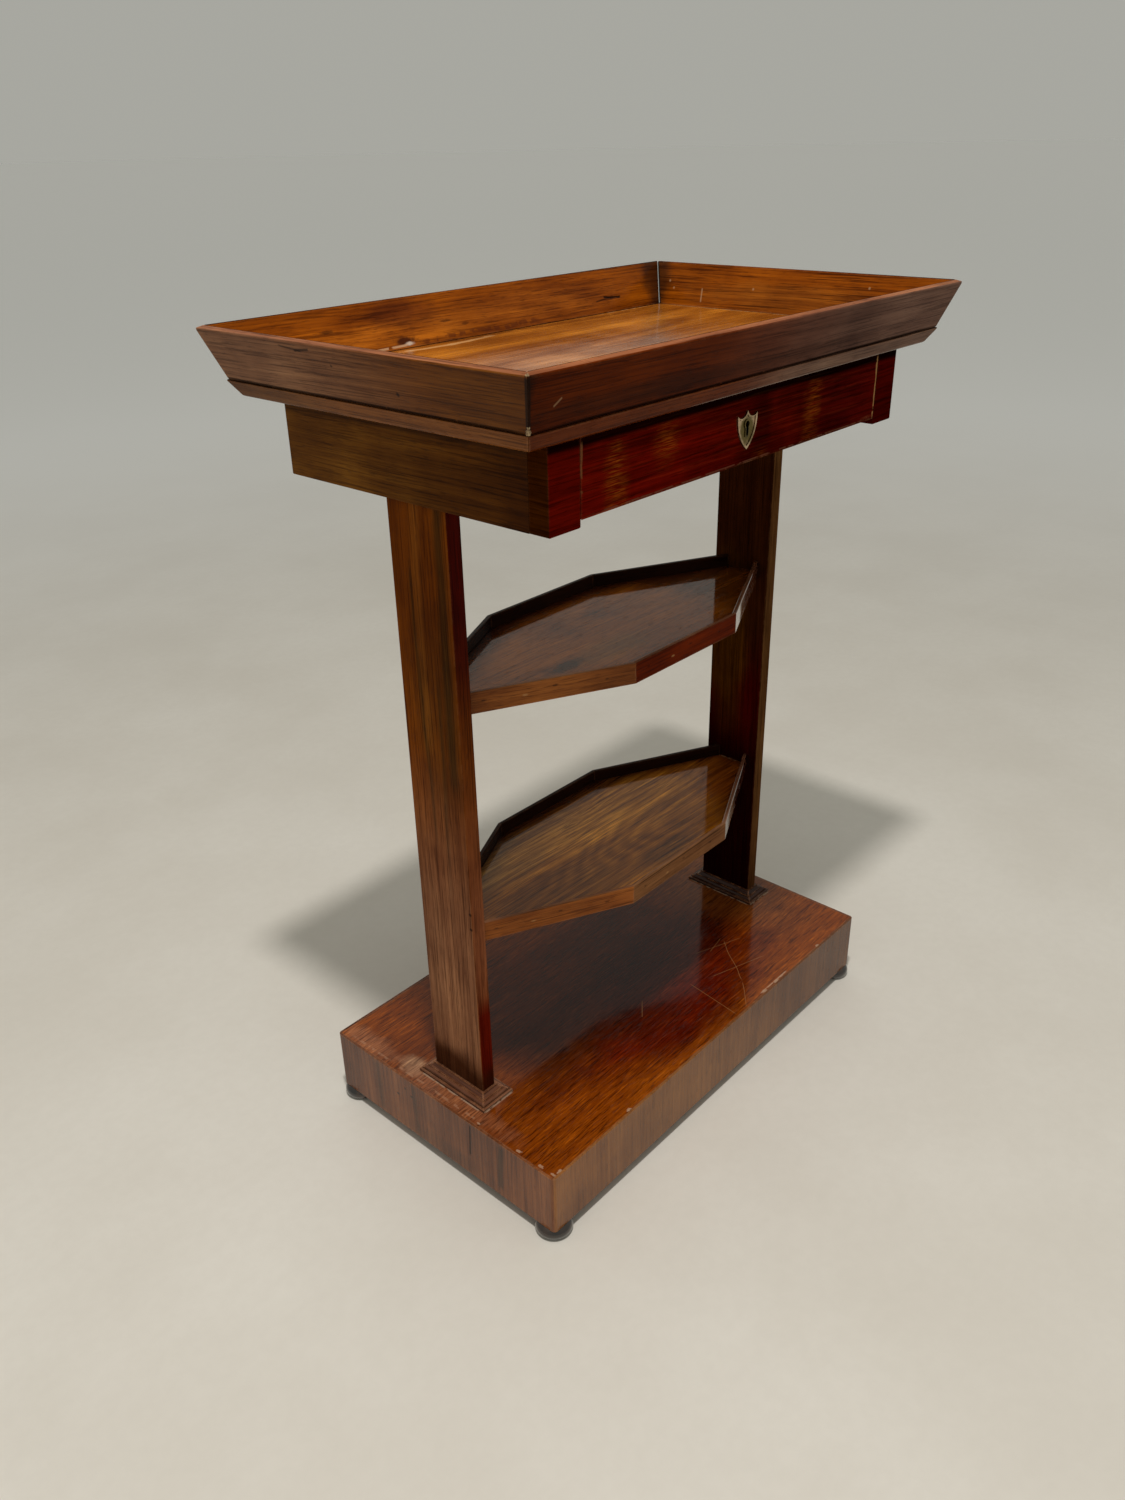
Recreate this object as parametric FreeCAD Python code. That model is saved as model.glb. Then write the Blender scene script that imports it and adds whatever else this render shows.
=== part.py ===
"""Side table: a canted tray top on a shallow box with one drawer, carried by two
flat uprights with two octagonal tray shelves between them, on a plinth with bun feet.

Frame: +X is the table's right seen from the drawer front, the drawer opens toward -Y,
+Z is up. The origin is on the floor, at the middle of the table's outline. Millimetres.
"""
import FreeCAD
import Part
import math
import os

# ---------------------------------------------------------------- driving dimensions
V = FreeCAD.Vector

TABLE_H = 670.0

# canted boards of the top tray
CANT = math.radians(20.0)
BOARD_T = 5.0
BOARD_FOOT_X = 235.2
BOARD_FOOT_Y = 138.6
BOARD_Z = 635.0
MITRE_GAP = 1.5

# moulding frame and floor of the top tray
MOULD_Z = 623.5
MOULD_PROUD = 1.2
MOULD_UNDER = 5.6
MOULD_IN = 20.0
REBATE = 5.6
REBATE_Z = 628.0
FLOOR_T = 11.5

# drawer box under the tray
BOX_X = 204.0
BOX_Y = 123.0
BOX_Z = 567.0
END_T = 11.0
STILE_W = 28.0
STILE_T = 16.0
BACK_T = 12.0
RUNNER_TOP = 571.2
RUNNER_IN = 161.0
SCREW_HEAD_Z = 589.0
SCREW_Y = 75.0

# drawer
FRONT_HALF = 175.5
FRONT_Z0 = 571.5
FRONT_Z1 = 621.6
FRONT_T = 16.0
SIDE_OUT = 175.2
SIDE_T = 7.5
SIDE_Z1 = 618.0
DRAWER_BACK_Y = 102.0
BOTTOM_Z0 = 574.0
BOTTOM_T = 4.0
GROOVE = 3.0
TAIL_HEIGHTS = (585.5, 606.5)

# lock and escutcheon
LOCK_X = -3.5
CASE_HALF = 22.0
CASE_Z0 = 586.5
CASE_Y0 = -114.5
CASE_Y1 = -105.3
BOLT_HALF = 7.5
BOLT_Y0 = -111.6
BOLT_Y1 = -107.8
BOLT_Z0 = 602.0
KEY_Z = 598.8
SHIELD_Z = 595.5
LOCK_SCREW_X = 17.0
LOCK_SCREW_Z = 598.0

# uprights
UP_IN = 186.0
UP_OUT = 199.4
UP_Y = 28.6
UP_TENON_Y = 22.0
TOP_TENON = 18.0
FOOT_TENON = 10.0

# shelves
SHELF_TOPS = (("upper", 429.5), ("lower", 232.2))
RIM_H = 16.5
RIM_T = 3.6
PANEL_T = 5.8
BEND_X = 64.7
SHELF_Y = 77.7
END_Y = 17.9
TONGUE_Y = 12.0
TONGUE = 5.0

# plinth
BASE_X = 225.5
BASE_Y = 129.8
BASE_Z0 = 10.7
BASE_Z1 = 67.9
RAIL_T = 16.0
LIP = 2.2
TOP_T = 12.5
CORNER_R = 3.6

# mouldings round the feet of the uprights
FILLET_P = 10.3
FILLET_H = 9.6

# bun feet
FOOT_INSET = 11.2
FOOT_R = 15.2
SPIGOT_R = 4.5
SPIGOT_L = 16.0

CLEAR = 0.15


# ---------------------------------------------------------------- helpers
def block(x0, x1, y0, y1, z0, z1):
    return Part.makeBox(x1 - x0, y1 - y0, z1 - z0, V(x0, y0, z0))


def face_of(points):
    return Part.Face(Part.makePolygon(points + [points[0]]))


def plan(points, z0, z1):
    """Prism standing on a plan outline."""
    return face_of([V(x, y, z0) for x, y in points]).extrude(V(0, 0, z1 - z0))


def run_x(points, x0, x1):
    """Prism along X on a (y, z) section."""
    return face_of([V(x0, y, z) for y, z in points]).extrude(V(x1 - x0, 0, 0))


def run_y(points, y0, y1):
    """Prism along Y on an (x, z) section."""
    return face_of([V(x, y0, z) for x, z in points]).extrude(V(0, y1 - y0, 0))


def front_prism(points, y0, y1):
    """Prism along Y on an (x, z) outline seen from the front."""
    return run_y(points, y0, y1)


def mirror_x(shape):
    return shape.mirror(V(0, 0, 0), V(1, 0, 0))


def mirror_y(shape):
    return shape.mirror(V(0, 0, 0), V(0, 1, 0))


def arc_points(cx, cy, r, a0, a1, n):
    out = []
    for i in range(n + 1):
        a = math.radians(a0 + (a1 - a0) * i / n)
        out.append((cx + r * math.cos(a), cy + r * math.sin(a)))
    return out


def quadrant(kind, big_x, big_y, gap=0.0):
    """Plan wedge between the 45 degree mitres that meet at the corners big_x, big_y."""
    d = big_x - big_y
    far = 400.0
    if kind == "front":
        return [(-d, 0.0), (-d - far, -far), (d + far, -far), (d, 0.0)]
    if kind == "back":
        return [(-d, 0.0), (d, 0.0), (d + far, far), (-d - far, far)]
    if kind == "left":
        return [(-d, 0.0), (-d - far, far), (-d - far, -far)]
    return [(d, 0.0), (d + far, -far), (d + far, far - gap), (d, -gap)]


def rim_section(out):
    """(outward, z) outline of a canted board standing on the moulding frame."""
    s = math.sin(CANT)
    c = math.cos(CANT)
    flat = BOARD_T / c
    rise = (TABLE_H - BOARD_Z) / c
    inner = (out - flat, BOARD_Z)
    tip = (inner[0] + rise * s, TABLE_H)
    edge = (tip[0] + BOARD_T * c, TABLE_H - BOARD_T * s)
    pts = [(out, BOARD_Z)]
    pts.append((edge[0] - 0.9 * s, edge[1] - 0.9 * c))
    pts.append((edge[0] - 0.25 * c, edge[1] + 0.1))
    pts.append((tip[0] + 0.5 * c, TABLE_H))
    pts.append((tip[0] - 0.1, TABLE_H - 0.35))
    pts.append(inner)
    return pts


def mould_section(out):
    """(outward, z) outline of the canted moulding under the boards."""
    hi = BOARD_Z
    lo = MOULD_Z
    a = (out + MOULD_PROUD, hi)
    b = (out - MOULD_UNDER + 1.2, lo + 2.4)
    pts = [(out - MOULD_IN, lo), (out - MOULD_IN, REBATE_Z), (out - REBATE, REBATE_Z)]
    pts.append((out - REBATE, hi))
    pts.append((a[0] - 0.6, hi))
    pts.append((a[0], hi - 0.6))
    pts.append(b)
    pts.append((out - MOULD_UNDER + 0.2, lo + 0.9))
    pts.append((out - MOULD_UNDER - 1.4, lo))
    return pts


def outward_to_side(kind, pts, length):
    """Run an (outward, z) section along one side of the table."""
    if kind == "front":
        return run_x([(-o, z) for o, z in pts], -length, length)
    if kind == "back":
        return run_x([(o, z) for o, z in pts], -length, length)
    if kind == "left":
        return run_y([(-o, z) for o, z in pts], -length, length)
    return run_y([(o, z) for o, z in pts], -length, length)


# ---------------------------------------------------------------- tray top
def tray_board(kind):
    out = BOARD_FOOT_Y if kind in ("front", "back") else BOARD_FOOT_X
    run = outward_to_side(kind, rim_section(out), 300.0)
    gap = MITRE_GAP if kind == "right" else 0.0
    wedge = plan(quadrant(kind, BOARD_FOOT_X, BOARD_FOOT_Y, gap), BOARD_Z - 1, TABLE_H + 1)
    return run.common(wedge)


def tray_moulding(kind):
    out = BOARD_FOOT_Y if kind in ("front", "back") else BOARD_FOOT_X
    run = outward_to_side(kind, mould_section(out), 330.0)
    wedge = plan(quadrant(kind, BOARD_FOOT_X, BOARD_FOOT_Y), MOULD_Z - 1, BOARD_Z + 1)
    return run.common(wedge)


def tray_screw_places():
    x = BOX_X - 0.5 * (STILE_W + END_T)
    return [(sx * x, sy * SCREW_Y) for sx in (-1, 1) for sy in (-1, 1)]


def tray_floor():
    hx = BOARD_FOOT_X - MOULD_IN
    hy = BOARD_FOOT_Y - MOULD_IN
    body = block(-hx, hx, -hy, hy, BOARD_Z - FLOOR_T, BOARD_Z)
    # the edge laps over the rebate of the moulding frame
    lx = BOARD_FOOT_X - REBATE
    ly = BOARD_FOOT_Y - REBATE
    body = body.fuse(block(-lx, lx, -ly, ly, REBATE_Z, BOARD_Z)).removeSplitter()
    # mortise that takes the lock bolt
    body = body.cut(block(LOCK_X - BOLT_HALF - 1, LOCK_X + BOLT_HALF + 1,
                          BOLT_Y0 - 1, BOLT_Y1 + 1, MOULD_Z - 1, MOULD_Z + 7.0))
    for x, y in tray_screw_places():
        body = body.cut(Part.makeCylinder(2.0, 8.5, V(x, y, MOULD_Z)))
    return body


def tray_screws():
    """Four screws up through the runners into the tray floor."""
    out = []
    for x, y in tray_screw_places():
        s = Part.makeCylinder(1.95, MOULD_Z + 8.0 - SCREW_HEAD_Z - 2.0, V(x, y, SCREW_HEAD_Z + 2.0))
        s = s.fuse(Part.makeCone(3.9, 1.9, 3.0, V(x, y, SCREW_HEAD_Z)))
        s = s.cut(block(x - 4, x + 4, y - 0.4, y + 0.4, SCREW_HEAD_Z - 1, SCREW_HEAD_Z + 1))
        out.append(s)
    return Part.makeCompound(out)


# ---------------------------------------------------------------- drawer box
def box_end_left():
    body = block(-BOX_X, -BOX_X + END_T, -BOX_Y + STILE_T, BOX_Y, BOX_Z, MOULD_Z)
    tongue = block(-BOX_X + 4, -BOX_X + 9, -BOX_Y + STILE_T - 6, -BOX_Y + STILE_T,
                   BOX_Z + 6, MOULD_Z - 6)
    body = body.fuse(tongue).removeSplitter()
    # housing for the tongue of the back rail
    return body.cut(block(-BOX_X + END_T - 5, -BOX_X + END_T + 1, BOX_Y - BACK_T + 3,
                          BOX_Y - 4, BOX_Z + 6, MOULD_Z - 6))


def box_stile_left():
    body = block(-BOX_X, -BOX_X + STILE_W, -BOX_Y, -BOX_Y + STILE_T, BOX_Z, MOULD_Z)
    return body.cut(block(-BOX_X + 4, -BOX_X + 9, -BOX_Y + STILE_T - 6,
                          -BOX_Y + STILE_T + 1, BOX_Z + 6, MOULD_Z - 6))


def box_back_rail():
    half = BOX_X - END_T
    body = block(-half, half, BOX_Y - BACK_T, BOX_Y, BOX_Z, MOULD_Z)
    tongue = block(-half - 5, half + 5, BOX_Y - BACK_T + 3, BOX_Y - 4, BOX_Z + 6, MOULD_Z - 6)
    return body.fuse(tongue).removeSplitter()


def runner_left():
    """Drawer runner and guide in one: an L, mortised for the upright's tenon."""
    inner = -BOX_X + STILE_W
    outer = -BOX_X + END_T
    y0 = -BOX_Y + STILE_T
    y1 = BOX_Y - BACK_T
    section = [(outer, BOX_Z), (outer, MOULD_Z), (inner, MOULD_Z), (inner, RUNNER_TOP),
               (-RUNNER_IN, RUNNER_TOP), (-RUNNER_IN, BOX_Z)]
    body = run_y(section, y0, y1)
    mortise = block(outer - 1, -UP_IN + CLEAR, -UP_TENON_Y - CLEAR, UP_TENON_Y + CLEAR,
                    BOX_Z - 1, BOX_Z + TOP_TENON + 1)
    body = body.cut(mortise)
    for x, y in tray_screw_places():
        if x > 0:
            continue
        body = body.cut(Part.makeCylinder(4.5, SCREW_HEAD_Z - BOX_Z, V(x, y, BOX_Z)))
        body = body.cut(Part.makeCylinder(2.0, 60.0, V(x, y, SCREW_HEAD_Z - 1)))
        body = body.cut(Part.makeCone(4.1, 2.0, 3.2, V(x, y, SCREW_HEAD_Z - 0.1)))
    return body


def drawer_stop():
    """Block glued to the back rail that the drawer back meets when it is shut."""
    return block(-27.0, 27.0, DRAWER_BACK_Y + 0.4, BOX_Y - BACK_T, FRONT_Z0 + 20, FRONT_Z0 + 44)


# ---------------------------------------------------------------- drawer
def tails(sx):
    """Two dovetails at the front end of a drawer side."""
    y_root = -BOX_Y + FRONT_T
    y_tip = y_root - 10.0
    x0 = SIDE_OUT - SIDE_T
    x1 = SIDE_OUT
    out = None
    for zc in TAIL_HEIGHTS:
        pts = [V(x0, y_root, zc - 4.5), V(x0, y_tip, zc - 6.3), V(x0, y_tip, zc + 6.3),
               V(x0, y_root, zc + 4.5)]
        tail = face_of(pts).extrude(V(x1 - x0, 0, 0))
        out = tail if out is None else out.fuse(tail)
    return out if sx > 0 else mirror_x(out)


def keyhole(y0, y1, grow=0.0):
    r = 2.3 + grow
    w = 1.1 + grow
    hole = Part.makeCylinder(r, y1 - y0, V(LOCK_X, y0, KEY_Z), V(0, 1, 0))
    slot = block(LOCK_X - w, LOCK_X + w, y0, y1, KEY_Z - 7.5 - grow, KEY_Z)
    return hole.fuse(slot)


def drawer_front():
    y0 = -BOX_Y
    y1 = -BOX_Y + FRONT_T
    body = block(-FRONT_HALF, FRONT_HALF, y0, y1, FRONT_Z0, FRONT_Z1)
    edges = [e for e in body.Edges if abs(e.CenterOfMass.y - y0) < 0.01]
    body = body.makeFillet(0.8, edges)
    body = body.cut(tails(1))
    body = body.cut(tails(-1))
    groove_half = SIDE_OUT - SIDE_T + GROOVE
    body = body.cut(block(-groove_half, groove_half, y1 - 4, y1 + 1, BOTTOM_Z0 - 0.1,
                          BOTTOM_Z0 + BOTTOM_T + 0.1))
    # recess for the lock case and its top plate
    body = body.cut(block(LOCK_X - CASE_HALF - 0.1, LOCK_X + CASE_HALF + 0.1, CASE_Y0 - 0.1,
                          y1 + 1, CASE_Z0 - 0.1, FRONT_Z1 + 1))
    body = body.cut(keyhole(y0 - 1, CASE_Y0 + 1, 0.2))
    body = body.cut(shield_plate(y0 - 1, y0 + 0.8))
    return body


def drawer_side_left():
    x0 = -SIDE_OUT
    x1 = -SIDE_OUT + SIDE_T
    body = block(x0, x1, -BOX_Y + FRONT_T, DRAWER_BACK_Y, FRONT_Z0, SIDE_Z1)
    body = body.fuse(tails(-1)).removeSplitter()
    body = body.cut(block(x1 - GROOVE, x1 + 1, -BOX_Y + FRONT_T - 12, DRAWER_BACK_Y + 1,
                          BOTTOM_Z0 - 0.1, BOTTOM_Z0 + BOTTOM_T + 0.1))
    # housing for the drawer back
    body = body.cut(block(x1 - GROOVE, x1 + 1, DRAWER_BACK_Y - 11.0, DRAWER_BACK_Y - 3.0,
                          BOTTOM_Z0 + BOTTOM_T, SIDE_Z1 + 1))
    return body


def drawer_back():
    half = SIDE_OUT - SIDE_T + GROOVE
    return block(-half, half, DRAWER_BACK_Y - 11.0, DRAWER_BACK_Y - 3.0,
                 BOTTOM_Z0 + BOTTOM_T, SIDE_Z1 - 3.0)


def drawer_bottom():
    half = SIDE_OUT - SIDE_T + GROOVE - 0.1
    return block(-half, half, -BOX_Y + FRONT_T - 3.8, DRAWER_BACK_Y - 0.5, BOTTOM_Z0,
                 BOTTOM_Z0 + BOTTOM_T - 0.05)


# ---------------------------------------------------------------- lock and escutcheon
def shield_wire(k, y):
    """Outline of the shield: pointed top between two scooped shoulders."""
    def p(x, z):
        return V(LOCK_X + x * k, y, SHIELD_Z + z * k)

    top = p(0, 12.5)
    notch_r = p(5.4, 8.1)
    ear_r = p(11.6, 9.9)
    tip = p(0, -13.8)
    ear_l = p(-11.6, 9.9)
    notch_l = p(-5.4, 8.1)
    edges = [Part.Arc(top, p(2.1, 9.5), notch_r).toShape()]
    edges.append(Part.Arc(notch_r, p(8.7, 8.1), ear_r).toShape())
    edges.append(Part.Arc(ear_r, p(8.6, -4.0), tip).toShape())
    edges.append(Part.Arc(tip, p(-8.6, -4.0), ear_l).toShape())
    edges.append(Part.Arc(ear_l, p(-8.7, 8.1), notch_l).toShape())
    edges.append(Part.Arc(notch_l, p(-2.1, 9.5), top).toShape())
    return Part.Wire(edges)


def shield_plate(y0, y1, k=1.0):
    return Part.Face(shield_wire(k, y0)).extrude(V(0, y1 - y0, 0))


def escutcheon():
    front = -BOX_Y
    body = shield_plate(front - 1.1, front + 0.8)
    body = body.cut(shield_plate(front - 2.0, front - 0.5, 0.84))
    ring = keyhole(front - 1.1, front - 0.4, 1.0)
    body = body.fuse(ring)
    return body.cut(keyhole(front - 3, front + 2))


def lock_case():
    body = block(LOCK_X - CASE_HALF, LOCK_X + CASE_HALF, CASE_Y0, CASE_Y1, CASE_Z0, FRONT_Z1)
    # bolt way through the top plate
    body = body.cut(block(LOCK_X - BOLT_HALF - 0.3, LOCK_X + BOLT_HALF + 0.3, BOLT_Y0 - 0.3,
                          BOLT_Y1 + 0.3, BOLT_Z0 - 0.4, FRONT_Z1 + 1))
    body = body.cut(keyhole(CASE_Y0 - 1, BOLT_Y0 + 1.0, 0.1))
    for sx in (-1, 1):
        x = LOCK_X + sx * LOCK_SCREW_X
        body = body.cut(Part.makeCylinder(1.3, 20, V(x, CASE_Y0 - 1, LOCK_SCREW_Z), V(0, 1, 0)))
        body = body.cut(Part.makeCone(1.3, 2.6, 1.4, V(x, CASE_Y1 - 1.4, LOCK_SCREW_Z), V(0, 1, 0)))
    return body


def lock_bolt():
    body = block(LOCK_X - BOLT_HALF, LOCK_X + BOLT_HALF, BOLT_Y0, BOLT_Y1, BOLT_Z0, FRONT_Z1 - 0.2)
    # slot that the key's bit works in
    return body.cut(block(LOCK_X - 3.0, LOCK_X + 3.0, BOLT_Y0 - 1, BOLT_Y0 + 2.0, BOLT_Z0 - 1,
                          BOLT_Z0 + 5.0))


def lock_screws():
    out = []
    for sx in (-1, 1):
        x = LOCK_X + sx * LOCK_SCREW_X
        s = Part.makeCylinder(1.2, 13.0, V(x, CASE_Y1 - 13.8, LOCK_SCREW_Z), V(0, 1, 0))
        s = s.fuse(Part.makeCone(1.2, 2.5, 1.35, V(x, CASE_Y1 - 1.4, LOCK_SCREW_Z), V(0, 1, 0)))
        s = s.cut(block(x - 0.3, x + 0.3, CASE_Y1 - 0.7, CASE_Y1 + 1, LOCK_SCREW_Z - 4,
                        LOCK_SCREW_Z + 4))
        out.append(s)
    return Part.makeCompound(out)


def drawer_front_with_screw_holes():
    body = drawer_front()
    for sx in (-1, 1):
        x = LOCK_X + sx * LOCK_SCREW_X
        body = body.cut(Part.makeCylinder(1.2, 6.0, V(x, CASE_Y0 - 4.6, LOCK_SCREW_Z), V(0, 1, 0)))
    return body


# ---------------------------------------------------------------- uprights
def upright_left():
    body = block(-UP_OUT, -UP_IN, -UP_Y, UP_Y, BASE_Z1, BOX_Z)
    edges = []
    for e in body.Edges:
        c = e.CenterOfMass
        if abs(abs(c.y) - UP_Y) < 0.01 and e.Length > 400:
            edges.append(e)
    body = body.makeFillet(1.3, edges)
    tenon = block(-BOX_X + END_T, -UP_IN, -UP_TENON_Y, UP_TENON_Y, BOX_Z, BOX_Z + TOP_TENON)
    foot = block(-UP_OUT + 3.2, -UP_IN - 3.2, -UP_TENON_Y, UP_TENON_Y, BASE_Z1 - FOOT_TENON, BASE_Z1)
    body = body.fuse(tenon).fuse(foot).removeSplitter()
    for name, top in SHELF_TOPS:
        z0 = top - RIM_H
        body = body.cut(block(-UP_IN - TONGUE - CLEAR, -UP_IN + 1, -TONGUE_Y - CLEAR, TONGUE_Y + CLEAR,
                              z0 - 0.05, z0 + PANEL_T + 0.05))
    return body


# ---------------------------------------------------------------- shelves
def shelf_path(inset):
    """Half outline from the left end to the right end along the front, inset inward."""
    a = (-UP_IN, -END_Y)
    b = (-BEND_X, -SHELF_Y)
    slope = (b[1] - a[1]) / (b[0] - a[0])
    length = math.hypot(1.0, slope)
    # the sloping line moved inward, then met with the straight one and with the end
    end_y = a[1] + inset * length
    flat_y = b[1] + inset
    bend_x = a[0] + (flat_y - end_y) / slope
    return [(a[0], end_y), (bend_x, flat_y), (-bend_x, flat_y), (-a[0], end_y)]


def shelf_panel(top):
    path = shelf_path(RIM_T)
    outline = path + [(x, -y) for x, y in reversed(path)]
    z0 = top - RIM_H
    body = plan(outline, z0, z0 + PANEL_T)
    tongue = block(-UP_IN - TONGUE, UP_IN + TONGUE, -TONGUE_Y, TONGUE_Y, z0, z0 + PANEL_T)
    return body.fuse(tongue).removeSplitter()


def shelf_rim(top, side, part):
    """One mitred strip of the low rim; side is front or back, part is left, mid or right."""
    outer = shelf_path(0.0)
    inner = shelf_path(RIM_T)
    i = {"left": 0, "mid": 1, "right": 2}[part]
    pts = [outer[i], outer[i + 1], inner[i + 1], inner[i]]
    body = plan(pts, top - RIM_H, top)
    tops = []
    for e in body.Edges:
        c = e.CenterOfMass
        if abs(c.z - top) < 0.01 and e.Length > 55:
            tops.append(e)
    body = body.makeFillet(0.7, tops)
    body = body.common(block(-UP_IN, UP_IN, -SHELF_Y - 1, 0, top - RIM_H, top))
    if side == "back":
        body = mirror_y(body)
    return body


# ---------------------------------------------------------------- plinth
def spigot_hole(sx, sy):
    x = sx * (BASE_X - FOOT_INSET)
    y = sy * (BASE_Y - FOOT_INSET)
    return Part.makeCylinder(SPIGOT_R + CLEAR, SPIGOT_L + 1, V(x, y, BASE_Z0))


def plinth_rail(kind):
    out = BASE_Y if kind in ("front", "back") else BASE_X
    pts = [(out, BASE_Z0), (out, BASE_Z1), (out - LIP, BASE_Z1), (out - LIP, BASE_Z1 - TOP_T),
           (out - RAIL_T, BASE_Z1 - TOP_T), (out - RAIL_T, BASE_Z0)]
    run = outward_to_side(kind, pts, 300.0)
    body = run.common(plan(quadrant(kind, BASE_X, BASE_Y), BASE_Z0 - 1, BASE_Z1 + 1))
    # rounded vertical corners of the whole plinth
    round_box = block(-BASE_X, BASE_X, -BASE_Y, BASE_Y, BASE_Z0, BASE_Z1)
    vert = [e for e in round_box.Edges if e.Length < BASE_Z1 - BASE_Z0 + 0.1 and abs(e.tangentAt(0).z) > 0.9]
    round_box = round_box.makeFillet(CORNER_R, vert)
    body = body.common(round_box)
    for sx in (-1, 1):
        for sy in (-1, 1):
            body = body.cut(spigot_hole(sx, sy))
    return body


def plinth_top():
    body = block(-BASE_X + LIP, BASE_X - LIP, -BASE_Y + LIP, BASE_Y - LIP, BASE_Z1 - TOP_T, BASE_Z1)
    vert = [e for e in body.Edges if abs(e.tangentAt(0).z) > 0.9]
    body = body.makeFillet(CORNER_R - LIP, vert)
    for sx in (-1, 1):
        x0 = min(sx * (UP_IN + 3.2 - CLEAR), sx * (UP_OUT - 3.2 + CLEAR))
        x1 = max(sx * (UP_IN + 3.2 - CLEAR), sx * (UP_OUT - 3.2 + CLEAR))
        body = body.cut(block(x0, x1, -UP_TENON_Y - CLEAR, UP_TENON_Y + CLEAR,
                              BASE_Z1 - FOOT_TENON - CLEAR, BASE_Z1 + 1))
    return body


def foot_moulding_section():
    """(outward from the upright, height) outline: fillet, quirk, ovolo, fillet, cove."""
    pts = [(0.0, 0.0), (FILLET_P, 0.0), (FILLET_P, 2.0), (FILLET_P - 0.5, 2.5), (FILLET_P - 1.6, 2.5),
           (FILLET_P - 1.6, 2.0), (FILLET_P - 2.4, 2.0), (FILLET_P - 2.4, 3.0)]
    pts += arc_points(FILLET_P - 4.6, 3.0, 2.2, 0, 85, 5)[1:]
    pts += [(5.0, 5.2), (5.0, 6.0)]
    pts += arc_points(4.6, 9.1, 3.1, 270, 180, 5)
    pts += [(1.5, FILLET_H), (0.0, FILLET_H)]
    return pts


def foot_moulding(kind):
    """Strip round the left upright's foot."""
    xc = -0.5 * (UP_IN + UP_OUT)
    hx = 0.5 * (UP_OUT - UP_IN)
    hy = UP_Y
    out = hy if kind in ("front", "back") else hx
    pts = [(out + o, BASE_Z1 + h) for o, h in foot_moulding_section()]
    run = outward_to_side(kind, pts, 60.0)
    d = hy - hx
    far = 80.0
    wedge = {"front": [(0, -d), (-far, -d - far), (far, -d - far)],
             "back": [(0, d), (far, d + far), (-far, d + far)],
             "left": [(0, d), (-far, d + far), (-far, -d - far), (0, -d)],
             "right": [(0, d), (0, -d), (far, -d - far), (far, d + far)]}[kind]
    body = run.common(plan(wedge, BASE_Z1 - 1, BASE_Z1 + 20))
    body.translate(V(xc, 0, 0))
    return body


def foot(sx, sy):
    x = sx * (BASE_X - FOOT_INSET)
    y = sy * (BASE_Y - FOOT_INSET)
    half = 0.5 * BASE_Z0
    core = FOOT_R - half
    e = [Part.makeLine(V(0, 0, 0), V(core, 0, 0)),
         Part.Arc(V(core, 0, 0), V(FOOT_R, 0, half), V(core, 0, BASE_Z0)).toShape(),
         Part.makeLine(V(core, 0, BASE_Z0), V(SPIGOT_R, 0, BASE_Z0)),
         Part.makeLine(V(SPIGOT_R, 0, BASE_Z0), V(SPIGOT_R, 0, BASE_Z0 + SPIGOT_L)),
         Part.makeLine(V(SPIGOT_R, 0, BASE_Z0 + SPIGOT_L), V(0, 0, BASE_Z0 + SPIGOT_L)),
         Part.makeLine(V(0, 0, BASE_Z0 + SPIGOT_L), V(0, 0, 0))]
    body = Part.Face(Part.Wire(e)).revolve(V(0, 0, 0), V(0, 0, 1), 360)
    body.translate(V(x, y, 0))
    return body


# ---------------------------------------------------------------- all the pieces
def pieces():
    out = {}
    for kind in ("front", "back", "left", "right"):
        out["tray_board_" + kind] = tray_board(kind)
        out["tray_moulding_" + kind] = tray_moulding(kind)
        out["plinth_rail_" + kind] = plinth_rail(kind)
    out["tray_floor"] = tray_floor()
    out["tray_screws"] = tray_screws()
    out["box_end_left"] = box_end_left()
    out["box_end_right"] = mirror_x(box_end_left())
    out["box_stile_left"] = box_stile_left()
    out["box_stile_right"] = mirror_x(box_stile_left())
    out["box_back_rail"] = box_back_rail()
    out["drawer_runner_left"] = runner_left()
    out["drawer_runner_right"] = mirror_x(runner_left())
    out["drawer_stop"] = drawer_stop()
    out["drawer_front"] = drawer_front_with_screw_holes()
    out["drawer_side_left"] = drawer_side_left()
    out["drawer_side_right"] = mirror_x(drawer_side_left())
    out["drawer_back"] = drawer_back()
    out["drawer_bottom"] = drawer_bottom()
    out["escutcheon"] = escutcheon()
    out["lock_case"] = lock_case()
    out["lock_bolt"] = lock_bolt()
    out["lock_screws"] = lock_screws()
    out["upright_left"] = upright_left()
    out["upright_right"] = mirror_x(upright_left())
    for name, top in SHELF_TOPS:
        out[name + "_shelf_panel"] = shelf_panel(top)
        for side in ("front", "back"):
            for part in ("left", "mid", "right"):
                out[name + "_shelf_rim_" + side + "_" + part] = shelf_rim(top, side, part)
    out["plinth_top"] = plinth_top()
    swap = {"front": "front", "back": "back", "left": "outer", "right": "inner"}
    for kind in ("front", "back", "left", "right"):
        m = foot_moulding(kind)
        out["upright_moulding_left_" + swap[kind]] = m
        out["upright_moulding_right_" + swap[kind]] = mirror_x(m)
    for sx, a in ((-1, "left"), (1, "right")):
        for sy, b in ((-1, "front"), (1, "back")):
            out["foot_" + b + "_" + a] = foot(sx, sy)
    return out


def main():
    os.makedirs("parts", exist_ok=True)
    for name, shape in pieces().items():
        shape.exportStep("parts/" + name + ".step")
        box = shape.BoundBox
        print(name, len(shape.Solids), shape.isValid(), round(shape.Volume / 1000.0, 2),
              [round(v, 1) for v in (box.XMin, box.XMax, box.YMin, box.YMax, box.ZMin, box.ZMax)])


main()
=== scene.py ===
import math

import bmesh
import bpy
from mathutils import Matrix, Vector, noise


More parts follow.
